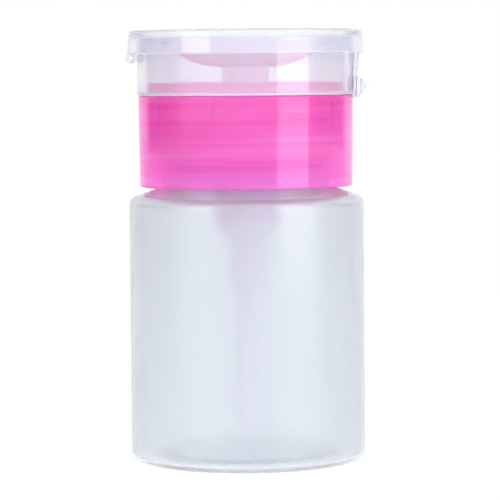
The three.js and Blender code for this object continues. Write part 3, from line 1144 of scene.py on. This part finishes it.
@dataclass
class PumpUnit:
    """What the collar clamps on the neck: gasket, barrel, bush, spring, dip tube and inlet ball."""

    tools: Tools
    flange_radius: float = 16.5
    flange_top: float = 68.127
    flange_bottom: float = 66.927
    plug_radius: float = 14.5
    plug_bore: float = 13.6
    plug_bottom: float = 64.427
    barrel_radius: float = 6.2
    barrel_bore: float = 5.2
    bush_bore: float = 5.6
    bush_seat: float = 65.827
    ledge: float = 46.477
    cage: float = 2.3
    seat_cone_top: float = 42.242
    throat: float = 1.102
    throat_top: float = 41.042
    throat_bottom: float = 40.242
    taper_top: float = 45.477
    taper_bottom: float = 42.627
    socket_radius: float = 3.35
    socket_bore: float = 2.15
    socket_bottom: float = 33.742
    nib_size: Triple = (1.6, 0.8, 0.8)
    nib_centre: Triple = (2.1, 0.0, 46.077)
    nibs: int = 3
    bush_top: float = 67.027
    bush_bottom: float = 62.027
    stem_radius: float = STEM_RADIUS
    bush_slide: float = 0.15
    bush_waist: float = 0.95
    bush_rim: float = 1.2
    seat_gap: float = 0.05
    gasket_bottom: float = 66.077
    gasket_top: float = 66.877
    gasket_inner: float = 14.65
    gasket_outer: float = 16.25
    spring_bottom: float = 46.527
    spring_top: float = 56.427
    spring_radius: float = 3.8
    wire: float = 0.25
    spring_turns: float = 6.0
    flat_turns: float = 0.4
    stroke: float = 6.0
    tube_radius: float = 2.1
    tube_bore: float = 1.4
    tube_top: float = 40.192
    tube_bottom: float = 3.0
    tube_cut: float = math.radians(40)
    cutter_reach: float = 8.4
    ball_radius: float = 1.9
    ball_height: float = 42.677
    taper_foot_rounding: float = 0.6
    taper_rounding: float = 0.8
    spring_fade: float = 0.01
    spring_steps: int = 64
    spring_sides: int = 14

    def housing(self) -> bpy.types.Object:
        """The flanged barrel with its bush seat, spring ledge, ball cage and tube socket.

        Returns:
            The barrel, a closed mesh object.
        """
        outline = (
            Outline()
            .to(self.plug_bore, self.flange_bottom, Rounding.SOFT)
            .to(self.plug_bore, self.plug_bottom, Rounding.FINE)
            .to(self.plug_radius, self.plug_bottom, Rounding.BROAD)
            .to(self.plug_radius, self.flange_bottom, Rounding.FINE)
            .to(self.flange_radius, self.flange_bottom, Rounding.SMALL)
            .to(self.flange_radius, self.flange_top, Rounding.EASED)
            .to(self.bush_bore, self.flange_top, Rounding.SOFT)
            .to(self.bush_bore, self.bush_seat)
            .to(self.barrel_bore, self.bush_seat, Rounding.CRISP)
            .to(self.barrel_bore, self.ledge, Rounding.SMALL)
            .to(self.cage, self.ledge, Rounding.SMALL)
            .to(self.cage, self.seat_cone_top, Rounding.CRISP)
            .to(self.throat, self.throat_top, Rounding.CRISP)
            .to(self.throat, self.throat_bottom)
            .to(self.socket_bore, self.throat_bottom, Rounding.CRISP)
            .to(self.socket_bore, self.socket_bottom, Rounding.EASED)
            .to(self.socket_radius, self.socket_bottom, Rounding.SOFT)
            .to(self.socket_radius, self.taper_bottom, self.taper_foot_rounding)
            .to(self.barrel_radius, self.taper_top, self.taper_rounding)
            .to(self.barrel_radius, self.flange_bottom, Rounding.FULL)
        )
        shell = Shape.turned("pump_barrel", outline, ROUND_SEGMENTS)
        nibs = self.tools.blocks("ball_nibs", self.nibs, self.nib_size, self.nib_centre)
        return Shape.combine(shell, nibs, Combine.JOIN)

    def bush(self) -> bpy.types.Object:
        """The bush that closes the barrel and guides the stem.

        Returns:
            The bush, a closed mesh object.
        """
        bore = self.stem_radius + self.bush_slide
        body = self.barrel_bore - self.seat_gap
        rim = self.bush_bore - self.seat_gap
        seat = self.bush_seat + self.seat_gap
        low, high = self.bush_bottom + self.bush_rim, seat - self.bush_rim / 2
        outline = (
            Outline()
            .to(bore, self.bush_bottom, Rounding.FINE)
            .to(body, self.bush_bottom, Rounding.SMALL)
            .to(body, low, Rounding.FINE)
            .to(bore + self.bush_waist, low, Rounding.SMALL)
            .to(bore + self.bush_waist, high, Rounding.SMALL)
            .to(body, high, Rounding.CRISP)
            .to(body, seat)
            .to(rim, seat, Rounding.CRISP)
            .to(rim, self.bush_top, Rounding.SMALL)
            .to(bore, self.bush_top, Rounding.SOFT)
        )
        return Shape.turned("stem_bush", outline, BARREL_SEGMENTS)

    def gasket(self) -> bpy.types.Object:
        """The foam gasket on the neck's rim.

        Returns:
            The gasket, a closed mesh object.
        """
        outline = (
            Outline()
            .to(self.gasket_inner, self.gasket_bottom, Rounding.CRISP)
            .to(self.gasket_outer, self.gasket_bottom, Rounding.FINE)
            .to(self.gasket_outer, self.gasket_top, Rounding.FINE)
            .to(self.gasket_inner, self.gasket_top, Rounding.CRISP)
        )
        return Shape.turned("foam_gasket", outline)

    def spring(self) -> bpy.types.Object:
        """The spring, wound by the coil tree.

        Returns:
            The spring, a closed mesh object.
        """
        length = self.spring_top - self.spring_bottom
        return self.tools.coil.make(
            "lift_spring",
            {
                "Turns": self.spring_turns,
                "Flat Turns": self.flat_turns,
                "Fade Turns": self.spring_fade,
                "Radius": self.spring_radius * MM,
                "Rise": (length - 2 * self.wire) * MM,
                "Start": (self.spring_bottom + self.wire) * MM,
                "Phase": 0.0,
                "Wire": self.wire * MM,
                "Steps": round(self.spring_turns * self.spring_steps),
                "Sides": self.spring_sides,
                "Material": material_of(STEEL),
            },
        )

    def tube(self) -> bpy.types.Object:
        """The dip tube, cut at a slant at its foot.

        Returns:
            The tube, a closed mesh object.
        """
        outline = (
            Outline()
            .to(self.tube_bore, self.tube_bottom)
            .to(self.tube_radius, self.tube_bottom)
            .to(self.tube_radius, self.tube_top, Rounding.CRISP)
            .to(self.tube_bore, self.tube_top, Rounding.CRISP)
        )
        tube = Shape.turned("suction_tube", outline, SMALL_SEGMENTS)
        reach = self.cutter_reach
        wedge = Shape.box("slant", (-reach, -reach, -reach), (reach, reach, 0))
        wedge.data.transform(
            Matrix.Translation((self.tube_radius * MM, 0, self.tube_bottom * MM))
            @ Matrix.Rotation(self.tube_cut, 4, "Y")
        )
        return Shape.combine(tube, wedge, Combine.CUT)

    def dress(self) -> None:
        """Builds the pump's clamped pieces and hands them over."""
        hand_over(self.gasket(), Body.PUMP, SEAL, "neck_gasket")
        hand_over(self.housing(), Body.PUMP, NATURAL, "pump_housing")
        hand_over(self.bush(), Body.PUMP, NATURAL, "guide_bush")
        hand_over(self.tube(), Body.PUMP, NATURAL, "dip_tube")
        ball = Ball("inlet_bead", self.ball_radius, self.ball_height).build()
        hand_over(ball, Body.INLET, GLASS, "inlet_ball")
        spring = self.spring()
        hand_over(spring, Body.PUMP, STEEL, "return_spring")
        length = self.spring_top - self.spring_bottom
        self.spring_bottom * MM
        1 - self.stroke / length
        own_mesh(spring)


@dataclass
class Ball:
    """A valve ball: an outline of a half circle, turned."""

    name: str
    radius: float
    height: float
    steps: int = 32

    def build(self) -> bpy.types.Object:
        """Builds the ball.

        Returns:
            The ball, a closed mesh object.
        """
        half = Outline()
        half.bow(0, self.height, self.radius, -QUARTER_TURN, QUARTER_TURN, self.steps)
        return Shape.turned(self.name, half, SMALL_SEGMENTS)


@dataclass
class PressHead:
    """What goes down when the dish is pressed: dish, nozzle cap, stem, piston and outlet ball."""

    tools: Tools
    stem_radius: float = STEM_RADIUS
    stem_bore: float = 1.5
    throat: float = 1.2
    stem_top: float = 75.927
    throat_bottom: float = 74.727
    foot_radius: float = 4.4
    foot_top: float = 57.477
    foot_bottom: float = 56.477
    piston_top: float = 61.927
    piston_bottom: float = 57.527
    piston_lip: float = 5.1
    piston_waist: float = 0.9
    lip_height: float = 1.2
    fit: float = 0.05
    hub_radius: float = 4.6
    hub_bottom: float = 73.327
    bowl_under: float = 76.827
    bowl_wall: float = 1.0
    bowl_depth: float = 4.6
    dish_radius: float = 16.8
    lip_width: float = 0.8
    lip_thickness: float = 0.9
    chamber: float = 1.9
    nozzle_radius: float = 3.2
    nozzle_bore: float = 2.2
    nozzle_bottom: float = 77.077
    nozzle_inside: float = 79.277
    nozzle_top: float = 80.077
    nozzle_seat: float = 0.8
    slots: int = 4
    slot_size: Triple = (4.4, 1.0, 0.6)
    slot_centre: Triple = (2.2, 0.0, 78.227)
    ball_radius: float = 1.5
    ball_height: float = 76.877

    def stem(self) -> bpy.types.Object:
        """The hollow stem with its foot.

        Returns:
            The stem, a closed mesh object.
        """
        outline = (
            Outline()
            .to(self.stem_bore, self.foot_bottom, Rounding.FINE)
            .to(self.foot_radius, self.foot_bottom, Rounding.SMALL)
            .to(self.foot_radius, self.foot_top, Rounding.SMALL)
            .to(self.stem_radius, self.foot_top)
            .to(self.stem_radius, self.stem_top, Rounding.SMALL)
            .to(self.throat, self.stem_top, Rounding.FINE)
            .to(self.throat, self.throat_bottom)
            .to(self.stem_bore, self.throat_bottom, Rounding.CRISP)
        )
        return Shape.turned("hollow_stem", outline, SMALL_SEGMENTS)

    def piston(self) -> bpy.types.Object:
        """The piston, with a sealing lip at each end.

        Returns:
            The piston, a closed mesh object.
        """
        bore = self.stem_radius + self.fit
        waist = bore + self.piston_waist
        outline = (
            Outline()
            .to(bore, self.piston_bottom, Rounding.CRISP)
            .to(self.piston_lip, self.piston_bottom, Rounding.CRISP)
            .to(waist, self.piston_bottom + self.lip_height, Rounding.BROAD)
            .to(waist, self.piston_top - self.lip_height, Rounding.BROAD)
            .to(self.piston_lip, self.piston_top, Rounding.CRISP)
            .to(bore, self.piston_top, Rounding.CRISP)
        )
        return Shape.turned("seal_piston", outline, BARREL_SEGMENTS)

    def dish(self) -> bpy.types.Object:
        """The dish: a bowl on a hub, with a lip round its rim.

        Returns:
            The dish, a closed mesh object.
        """
        run = self.dish_radius - self.lip_width - self.hub_radius
        under = (run**2 + self.bowl_depth**2) / (2 * self.bowl_depth)
        centre = self.bowl_under + under
        upper = under - self.bowl_wall
        lip_under = self.bowl_under + self.bowl_depth
        rim_top = lip_under + self.lip_thickness
        bowl_top = self.bowl_under + self.bowl_wall
        seat = self.nozzle_radius + self.fit
        bore = self.stem_radius + self.fit
        rim_angle = -math.asin((centre - rim_top) / upper)
        outline = (
            Outline()
            .to(bore, self.hub_bottom, Rounding.SOFT)
            .to(self.hub_radius, self.hub_bottom, Rounding.SOFT)
            .bow(self.hub_radius, centre, under, -QUARTER_TURN, -math.acos(run / under))
            .to(self.dish_radius, lip_under, Rounding.EASED)
            .to(self.dish_radius, rim_top, Rounding.SOFT)
            .bow(self.hub_radius, centre, upper, rim_angle, -QUARTER_TURN)
            .to(seat, bowl_top, Rounding.CRISP)
            .to(seat, bowl_top - self.nozzle_seat)
            .to(self.chamber, bowl_top - self.nozzle_seat, Rounding.CRISP)
            .to(self.chamber, self.stem_top + self.fit)
            .to(bore, self.stem_top + self.fit)
        )
        return Shape.turned("press_bowl", outline)

    def nozzle(self) -> bpy.types.Object:
        """The nozzle cap, with its slots cut by the wheel tree's blocks.

        Returns:
            The cap, a closed mesh object.
        """
        outline = (
            Outline()
            .to(self.nozzle_bore, self.nozzle_bottom, Rounding.FINE)
            .to(self.nozzle_radius, self.nozzle_bottom, Rounding.FINE)
            .to(self.nozzle_radius, self.nozzle_top, Rounding.FULL)
            .to(0, self.nozzle_top)
            .to(0, self.nozzle_inside)
            .to(self.nozzle_bore, self.nozzle_inside, Rounding.SMALL)
        )
        cap = Shape.turned("nozzle_dome", outline, BARREL_SEGMENTS)
        slots = self.tools.blocks("nozzle_slots", self.slots, self.slot_size, self.slot_centre)
        return Shape.combine(cap, slots, Combine.CUT)

    def dress(self) -> None:
        """Builds the pressed pieces and hands them over."""
        hand_over(self.dish(), Body.DISH, BOWL, "press_dish")
        hand_over(self.nozzle(), Body.DISH, BOWL, "nozzle_cap")
        hand_over(self.stem(), Body.DISH, NATURAL, "pump_stem")
        hand_over(self.piston(), Body.DISH, NATURAL, "piston")
        ball = Ball("outlet_bead", self.ball_radius, self.ball_height).build()
        hand_over(ball, Body.OUTLET, GLASS, "outlet_ball")


@dataclass
class Collar:
    """The pink screw collar: skirt, step, floor and threaded sleeve, with ribs in its moat."""

    tools: Tools
    radius: float = 21.05
    bottom_radius: float = 20.85
    wall: float = 1.3
    skirt_bottom: float = 53.674
    ledge: float = 71.427
    deck: float = 73.927
    step_radius: float = 19.6
    bead: float = 0.1
    bead_half: float = 0.35
    well: float = 17.2
    sleeve: float = 18.4
    sleeve_bottom: float = 58.677
    floor_bottom: float = 68.177
    floor_top: float = 69.377
    floor_bore: float = 6.2
    moat_top: float = 70.127
    ribs: int = 10
    rib_size: Triple = (2.6, 0.7, 5.25)
    rib_centre: Triple = (19.1, 0.0, 68.152)
    thread_inset: float = 0.05
    thread_ridge: float = 0.6
    thread_phase: float = math.pi

    def outline(self) -> Outline:
        """The collar's outline, turned round the axis.

        Returns:
            An outline of radii and heights.
        """
        middle = (self.ledge + self.deck) / 2
        return (
            Outline()
            .to(self.bottom_radius, self.skirt_bottom, Rounding.SOFT)
            .to(self.radius, self.ledge, Rounding.SOFT)
            .to(self.step_radius, self.ledge, Rounding.FINE)
            .to(self.step_radius, middle - self.bead_half, Rounding.CRISP)
            .to(self.step_radius + self.bead, middle, Rounding.CRISP)
            .to(self.step_radius, middle + self.bead_half, Rounding.CRISP)
            .to(self.step_radius, self.deck, Rounding.EASED)
            .to(self.well, self.deck, Rounding.EASED)
            .to(self.well, self.floor_top, Rounding.BROAD)
            .to(self.floor_bore, self.floor_top, Rounding.SMALL)
            .to(self.floor_bore, self.floor_bottom, Rounding.FINE)
            .to(self.well, self.floor_bottom, Rounding.SMALL)
            .to(self.well, self.sleeve_bottom, Rounding.SOFT)
            .to(self.sleeve, self.sleeve_bottom, Rounding.SOFT)
            .to(self.sleeve, self.moat_top, Rounding.SOFT)
            .to(self.radius - self.wall, self.moat_top, Rounding.SOFT)
            .to(self.bottom_radius - self.wall, self.skirt_bottom, Rounding.SOFT)
        )

    def build(self) -> bpy.types.Object:
        """Builds the collar with its ribs and its thread.

        Returns:
            The collar, a closed mesh object.
        """
        collar = Shape.turned("collar_shell", self.outline())
        ribs = self.tools.blocks("moat_ribs", self.ribs, self.rib_size, self.rib_centre)
        Shape.combine(collar, ribs, Combine.JOIN)
        ridge = self.tools.thread(
            "sleeve_thread",
            self.well - self.thread_inset,
            self.thread_ridge,
            self.thread_phase,
        )
        return Shape.combine(collar, ridge, Combine.JOIN)

    def dress(self) -> None:
        """Builds the collar and hands it over."""
        hand_over(self.build(), Body.COLLAR, PINK, "pump_collar")


@dataclass(frozen=True)
class Hinge:
    """The lid's hinge line, which the ring's bar and the lid's knuckle share."""

    x: float = -22.3
    z: float = 78.827

    def rod(self, name: str, radius: float, width: float, edge: float = 0.0) -> bpy.types.Object:
        """A rod round the hinge line.

        Args:
            name: The object's name.
            radius: Its radius.
            width: Its length along Y.
            edge: How far its rims are rounded.

        Returns:
            A closed mesh object.
        """
        half = width / 2
        outline = Outline().to(0, -half).to(radius, -half, edge).to(radius, half, edge).to(0, half)
        rod = Shape.turned(name, outline, SMALL_SEGMENTS)
        place = Matrix.Translation((self.x * MM, 0, self.z * MM))
        rod.data.transform(place @ Matrix.Rotation(QUARTER_TURN, 4, "X"))
        return rod


@dataclass
class LidRing:
    """The clear ring on the collar's step, with its hinge ears, its bar and its catch ridge."""

    radius: float = 21.2
    bore: float = 19.8
    bottom: float = 71.477
    top: float = 82.677
    bead: float = 0.08
    bead_height: float = 0.55
    lead_in: float = 0.5
    ridge_bottom: float = 71.977
    ridge_top: float = 72.677
    ridge_reach: float = 0.15
    ridge_width: float = 10.0
    hinge: Hinge = Hinge()
    ear_radius: float = 0.6
    ear_middle: float = 4.45
    ear_thickness: float = 1.4
    ear_root: float = -19.9
    bar_radius: float = 0.4
    bar_width: float = 8.9
    ear_steps: int = 20

    def outline(self) -> Outline:
        """The ring's outline.

        Returns:
            An outline of radii and heights.
        """
        return (
            Outline()
            .to(self.radius + self.bead, self.bottom, Rounding.SMALL)
            .to(self.radius + self.bead, self.bottom + self.bead_height, Rounding.CRISP)
            .to(self.radius, self.bottom + self.bead_height + self.bead, Rounding.HAIR)
            .to(self.radius, self.top, Rounding.SOFT)
            .to(self.bore, self.top, Rounding.SOFT)
            .to(self.bore, self.bottom + self.lead_in, Rounding.HAIR)
            .to(self.bore + self.lead_in, self.bottom, Rounding.HAIR)
        )

    def ridge(self) -> bpy.types.Object:
        """The catch ridge that the lid's latch snaps over.

        Returns:
            The ridge, a closed mesh object.
        """
        root = (self.radius + self.bore) / 2
        middle = (self.ridge_bottom + self.ridge_top) / 2
        outline = (
            Outline()
            .to(root, self.ridge_bottom)
            .to(self.radius, self.ridge_bottom)
            .to(self.radius + self.ridge_reach, middle, Rounding.FINE)
            .to(self.radius, self.ridge_top)
            .to(root, self.ridge_top)
        )
        band = Shape.turned("catch_ridge", outline)
        half = self.ridge_width / 2
        window = Shape.box(
            "window", (0, -half, self.bottom), (self.radius + OVERRUN, half, self.top)
        )
        return Shape.combine(band, window, Combine.KEEP)

    def ear(self, side: int) -> bpy.types.Object:
        """One of the two ears that hold the hinge bar.

        Args:
            side: -1 for the ear at -Y, 1 for the one at +Y.

        Returns:
            The ear, a closed mesh object.
        """
        low, high = self.hinge.z - self.ear_radius, self.hinge.z + self.ear_radius
        top, foot = QUARTER_TURN, 3 * QUARTER_TURN
        outline = (
            Outline()
            .bow(self.hinge.x, self.hinge.z, self.ear_radius, top, foot, self.ear_steps)
            .to(self.ear_root, low)
            .to(self.ear_root, high)
        )
        ear = Shape.prism("hinge_ear", outline, self.ear_thickness)
        ear.data.transform(Matrix.Translation((0, side * self.ear_middle * MM, 0)))
        return ear

    def build(self) -> bpy.types.Object:
        """Builds the ring with what stands on it.

        Returns:
            The ring, a closed mesh object.
        """
        ring = Shape.turned("ring_wall", self.outline())
        Shape.combine(ring, self.ridge(), Combine.JOIN)
        for side in (-1, 1):
            Shape.combine(ring, self.ear(side), Combine.JOIN)
        bar = self.hinge.rod("hinge_bar", self.bar_radius, self.bar_width, Rounding.CRISP)
        return Shape.combine(ring, bar, Combine.JOIN)

    def dress(self) -> None:
        """Builds the ring and hands it over."""
        hand_over(self.build(), Body.COLLAR, CLEAR, "lid_ring")


@dataclass
class FlipLid:
    """The clear flip lid, with its hinge knuckle, its latch tongue and its thumb tab."""

    radius: float = 23.1
    top_radius: float = 22.75
    wall: float = 1.15
    under: float = 82.777
    top: float = 84.077
    skirt_bottom: float = 79.477
    edge: float = 0.5
    hinge: Hinge = Hinge()
    knuckle_radius: float = 1.0
    knuckle_width: float = 7.0
    knuckle_bore: float = 0.52
    mouth: float = 0.385
    web: float = 0.8
    tongue_inner: float = 21.4
    tongue_root: float = 22.4
    tongue_tip: float = 21.9
    tongue_bottom: float = 70.877
    tongue_width: float = 9.0
    hook: float = 0.06
    hook_top: float = 71.927
    hook_height: float = 0.5
    tab_reach: float = 24.15
    tab_tip: float = 73.077
    tab_top: float = 74.977
    tab_rounding: float = 7.0
    tongue_rounding: float = 0.8
    tab_top_rounding: float = 0.6

    def outline(self) -> Outline:
        """The cap's outline.

        Returns:
            An outline of radii and heights.
        """
        return (
            Outline()
            .to(0, self.under)
            .to(self.top_radius - self.wall, self.under, Rounding.BROAD)
            .to(self.radius - self.wall, self.skirt_bottom, Rounding.EASED)
            .to(self.radius, self.skirt_bottom, Rounding.EASED)
            .to(self.top_radius, self.top, self.edge)
            .to(0, self.top)
        )

    def knuckle(self) -> bpy.types.Object:
        """The knuckle with its web, still without its bore.

        Returns:
            The knuckle, a closed mesh object.
        """
        rod = self.hinge.rod("lid_knuckle", self.knuckle_radius, self.knuckle_width, Rounding.FINE)
        half = self.web / 2
        top = self.skirt_bottom + self.wall / 2
        outline = (
            Outline()
            .to(self.hinge.x - half, self.hinge.z)
            .to(self.hinge.x + half, self.hinge.z)
            .to(self.hinge.x + half, top)
            .to(self.hinge.x - half, top)
        )
        web = Shape.prism("knuckle_web", outline, self.knuckle_width - INSET)
        return Shape.combine(rod, web, Combine.JOIN)

    def tongue(self) -> bpy.types.Object:
        """The latch tongue with its hook.

        Returns:
            The tongue, a closed mesh object.
        """
        outline = (
            Outline()
            .to(self.tongue_inner - self.hook, self.hook_top - self.hook_height, Rounding.HAIR)
            .to(self.tongue_inner, self.tongue_bottom, Rounding.FINE)
            .to(self.tongue_tip, self.tongue_bottom, Rounding.FINE)
            .to(self.tongue_tip, self.tab_top, self.tongue_rounding)
            .to(self.tongue_root, self.skirt_bottom, Rounding.SOFT)
            .to(self.tongue_root, self.skirt_bottom + self.wall)
            .to(self.tongue_inner, self.skirt_bottom + self.wall)
            .to(self.tongue_inner, self.hook_top)
            .to(self.tongue_inner - self.hook, self.hook_top)
        )
        band = Shape.turned("latch_tongue", outline)
        half = self.tongue_width / 2
        window = Shape.box(
            "window",
            (0, -half, self.tongue_bottom - OVERRUN),
            (self.tab_reach + OVERRUN, half, self.top),
        )
        return Shape.combine(band, window, Combine.KEEP)

    def tab(self) -> bpy.types.Object:
        """The thumb tab: a wedge with a rounded front.

        Returns:
            The tab, a closed mesh object.
        """
        root = (self.tongue_inner + self.tongue_tip) / 2
        outline = (
            Outline()
            .to(root, self.tongue_bottom + INSET)
            .to(self.tongue_tip, self.tongue_bottom + INSET, Rounding.CRISP)
            .to(self.tab_reach, self.tab_tip, Rounding.SMALL)
            .to(self.tongue_tip, self.tab_top, self.tab_top_rounding)
            .to(root, self.tab_top)
        )
        wedge = Shape.prism("thumb_tab", outline, self.tongue_width - INSET)
        rod = (
            Outline()
            .to(0, self.tongue_bottom - OVERRUN)
            .to(self.tab_rounding, self.tongue_bottom - OVERRUN)
            .to(self.tab_rounding, self.top)
            .to(0, self.top)
        )
        front = Shape.turned("tab_front", rod, ROUND_SEGMENTS)
        front.data.transform(Matrix.Translation(((self.tab_reach - self.tab_rounding) * MM, 0, 0)))
        return Shape.combine(wedge, front, Combine.KEEP)

    def build(self) -> bpy.types.Object:
        """Builds the lid.

        Returns:
            The lid, a closed mesh object.
        """
        lid = Shape.turned("lid_cap", self.outline())
        Shape.combine(lid, self.knuckle(), Combine.JOIN)
        bore = self.hinge.rod("knuckle_bore", self.knuckle_bore, self.knuckle_width + 2 * OVERRUN)
        Shape.combine(lid, bore, Combine.CUT)
        half = self.knuckle_width / 2 + OVERRUN
        mouth = Shape.box(
            "knuckle_mouth",
            (self.hinge.x, -half, self.hinge.z - self.mouth),
            (self.hinge.x + self.knuckle_radius + OVERRUN, half, self.hinge.z + self.mouth),
        )
        Shape.combine(lid, mouth, Combine.CUT)
        tongue = Shape.combine(self.tongue(), self.tab(), Combine.JOIN)
        return Shape.combine(lid, tongue, Combine.JOIN)

    def dress(self) -> None:
        """Builds the lid and hands it over."""
        hand_over(self.build(), Body.LID, CLEAR, "flip_lid")


# The studio


@dataclass(frozen=True)
class Softbox:
    """An upright lamp beside the camera, turned to the object's axis.

    Its middle and its half width are angles from the camera in degrees, its other sizes are in
    metres, and its glow is its surface's brightness, where white is 1. Gloss doesn't mirror it
    between two heights, so that a level top keeps its colour when seen from the far side.
    """

    name: str
    azimuth: float
    half_width: float
    distance: float
    bottom: float
    unmirrored: tuple[float, float]
    top: float
    glow: float

    def light(self) -> None:
        """Stands the lamp up, in three parts."""
        low, high = self.unmirrored
        self.stand("low", self.bottom, low, True)
        self.stand("middle", low, high, False)
        self.stand("high", high, self.top, True)

    def stand(self, part: str, bottom: float, top: float, mirrored: bool) -> None:
        """Stands one part of the lamp up.

        Args:
            part: The part's name.
            bottom: Its lower edge's height.
            top: Its upper edge's height.
            mirrored: Whether gloss shows it.
        """
        name = f"{self.name}_{part}"
        width = 2 * self.distance * math.tan(math.radians(self.half_width))
        lamp = bpy.data.lights.new(name, "AREA")
        lamp.shape = "RECTANGLE"
        lamp.size = width
        lamp.size_y = top - bottom
        lamp.energy = self.glow * math.pi * width * (top - bottom)
        stood = bpy.data.objects.new(name, lamp)
        bpy.context.scene.collection.objects.link(stood)
        angle = math.radians(self.azimuth)
        away = Vector((math.sin(angle), -math.cos(angle), 0))
        stood.location = away * self.distance + Vector((0, 0, (top + bottom) / 2))
        stood.rotation_euler = (-away).to_track_quat("-Z", "Y").to_euler()
        stood.visible_glossy = mirrored


@dataclass
class Studio:
    """White surroundings, a pale floor, two tall softboxes and the photograph's camera."""

    middle: float = 41.0
    camera_distance: float = 529.0
    pitch: float = math.radians(3.9)
    roll: float = math.radians(0.49)
    lens: float = 193.75
    shift: float = 0.0062
    sensor: float = 36.0
    nearest: float = 0.01
    farthest: float = 20.0
    floor_radius: float = 1.5
    floor_depth: float = 1.0
    floor_colour: Colour = Colour(250, 250, 250)
    floor_glow: float = 0.9
    floor_white: float = 1.04
    ambient: float = 0.92
    flag_middle: float = math.radians(102)
    flag_edge: float = 0.84
    flag_blur: float = 0.1
    flag_depth: float = 0.95
    clear_bounces: int = 64
    matt_bounces: int = 32
    softboxes: tuple[Softbox, ...] = (
        Softbox(
            name="softbox_right",
            azimuth=51.0,
            half_width=18.0,
            distance=0.5,
            bottom=0.005,
            unmirrored=(0.13, 0.35),
            top=0.8,
            glow=2.3,
        ),
        Softbox(
            name="softbox_left",
            azimuth=-49.5,
            half_width=14.5,
            distance=0.9,
            bottom=0.1,
            unmirrored=(0.24, 0.6),
            top=1.1,
            glow=1.8,
        ),
    )

    @staticmethod
    def seen_white(graph: Graph) -> Wire:
        """1 for rays that see the surroundings: straight, mirrored or through a clear wall.

        Args:
            graph: The tree of the world or of a material.

        Returns:
            1 for such rays, 0 for others.
        """
        path = graph.add("ShaderNodeLightPath")
        straight = path["Is Camera Ray"]
        return (straight + path["Is Glossy Ray"] + path["Is Transmission Ray"]).clamped()

    def flags(self, graph: Graph) -> Wire:
        """How much a mirrored direction falls on the two dark flags, beside the object.

        Args:
            graph: The world's tree.

        Returns:
            How dark the flags are there, from 0 to 1.
        """
        way = graph.add(
            "ShaderNodeSeparateXYZ", {}, {"Vector": graph.add("ShaderNodeTexCoord")["Generated"]}
        )
        toward = way.maths("ABSOLUTE", way) * math.sin(self.flag_middle)
        toward = toward - way["Y"] * math.cos(self.flag_middle)
        held = ((toward - self.flag_edge) / self.flag_blur).clamped()
        return held * graph.add("ShaderNodeLightPath")["Is Glossy Ray"] * self.flag_depth

    def world(self) -> None:
        """White where it is seen, a plain soft light elsewhere, and two dark flags in the gloss."""
        world = bpy.data.worlds.new("studio")
        bpy.context.scene.world = world
        graph = emptied(world)
        strength = self.ambient + self.seen_white(graph) * (1 - self.ambient)
        strength = strength * (1 - self.flags(graph))
        light = graph.add("ShaderNodeBackground", {}, {"Color": (1, 1, 1, 1), "Strength": strength})
        graph.add("ShaderNodeOutputWorld", {}, {"Surface": light})

    def floor(self) -> None:
        """A pale floor that keeps a soft shadow."""
        edge, under = self.floor_radius / MM, -self.floor_depth
        outline = Outline().to(0, under).to(edge, under).to(edge, 0).to(0, 0)
        floor = Shape.turned("floor", outline, BARREL_SEGMENTS)
        material = bpy.data.materials.new("pale_floor")
        graph = emptied(material)
        matt = graph.add("ShaderNodeBsdfDiffuse", {}, {"Color": self.floor_colour.linear()})
        glow = graph.add(
            "ShaderNodeEmission", {}, {"Color": (1, 1, 1, 1), "Strength": self.floor_white}
        )
        mask = self.seen_white(graph) * self.floor_glow
        surface = graph.add("ShaderNodeMixShader", {}, {0: mask, 1: matt, 2: glow})
        graph.add("ShaderNodeOutputMaterial", {}, {"Surface": surface})
        floor.data.materials.append(material)

    def camera(self) -> None:
        """The camera, where the photograph's was."""
        lens = bpy.data.cameras.new("camera")
        lens.lens = self.lens
        lens.sensor_width = self.sensor
        lens.shift_x = self.shift
        lens.clip_start, lens.clip_end = self.nearest, self.farthest
        camera = bpy.data.objects.new("camera", lens)
        bpy.context.scene.collection.objects.link(camera)
        back = Vector((0, -math.cos(self.pitch), math.sin(self.pitch)))
        camera.location = Vector((0, 0, self.middle * MM)) + back * self.camera_distance * MM
        level = (-back).to_track_quat("-Z", "Y").to_matrix()
        camera.rotation_euler = (level @ Matrix.Rotation(-self.roll, 3, "Z")).to_euler()
        bpy.context.scene.camera = camera

    def build(self) -> None:
        """Sets the scene."""
        self.world()
        self.floor()
        for softbox in self.softboxes:
            softbox.light()
        self.camera()
        scene = bpy.context.scene
        scene.view_settings.view_transform = "Standard"
        # The gloss filter takes light from milky plastic, so it is off.
        scene.cycles.blur_glossy = 0.0
        scene.cycles.max_bounces = self.clear_bounces
        scene.cycles.transmission_bounces = self.clear_bounces
        scene.cycles.diffuse_bounces = self.matt_bounces
        scene.cycles.glossy_bounces = self.matt_bounces
        log.info("studio is set")


def main() -> None:
    """Builds the object piece by piece, and then its studio."""
    logging.basicConfig(level=logging.INFO, format="%(name)s: %(message)s")
    thread = frame["record"]["behaviour"]["couplings"][0]
    tools = Tools(CoilTree(), WheelTree(), abs(thread["ratio"]) * FULL_TURN / MM)
    parts = (
        Bottle(tools),
        PumpUnit(tools),
        PressHead(tools),
        Collar(tools),
        LidRing(),
        FlipLid(),
    )
    for part in parts:
        part.dress()
        log.info("%s done", type(part).__name__)
    Studio().build()


if __name__ == "__main__":
    main()
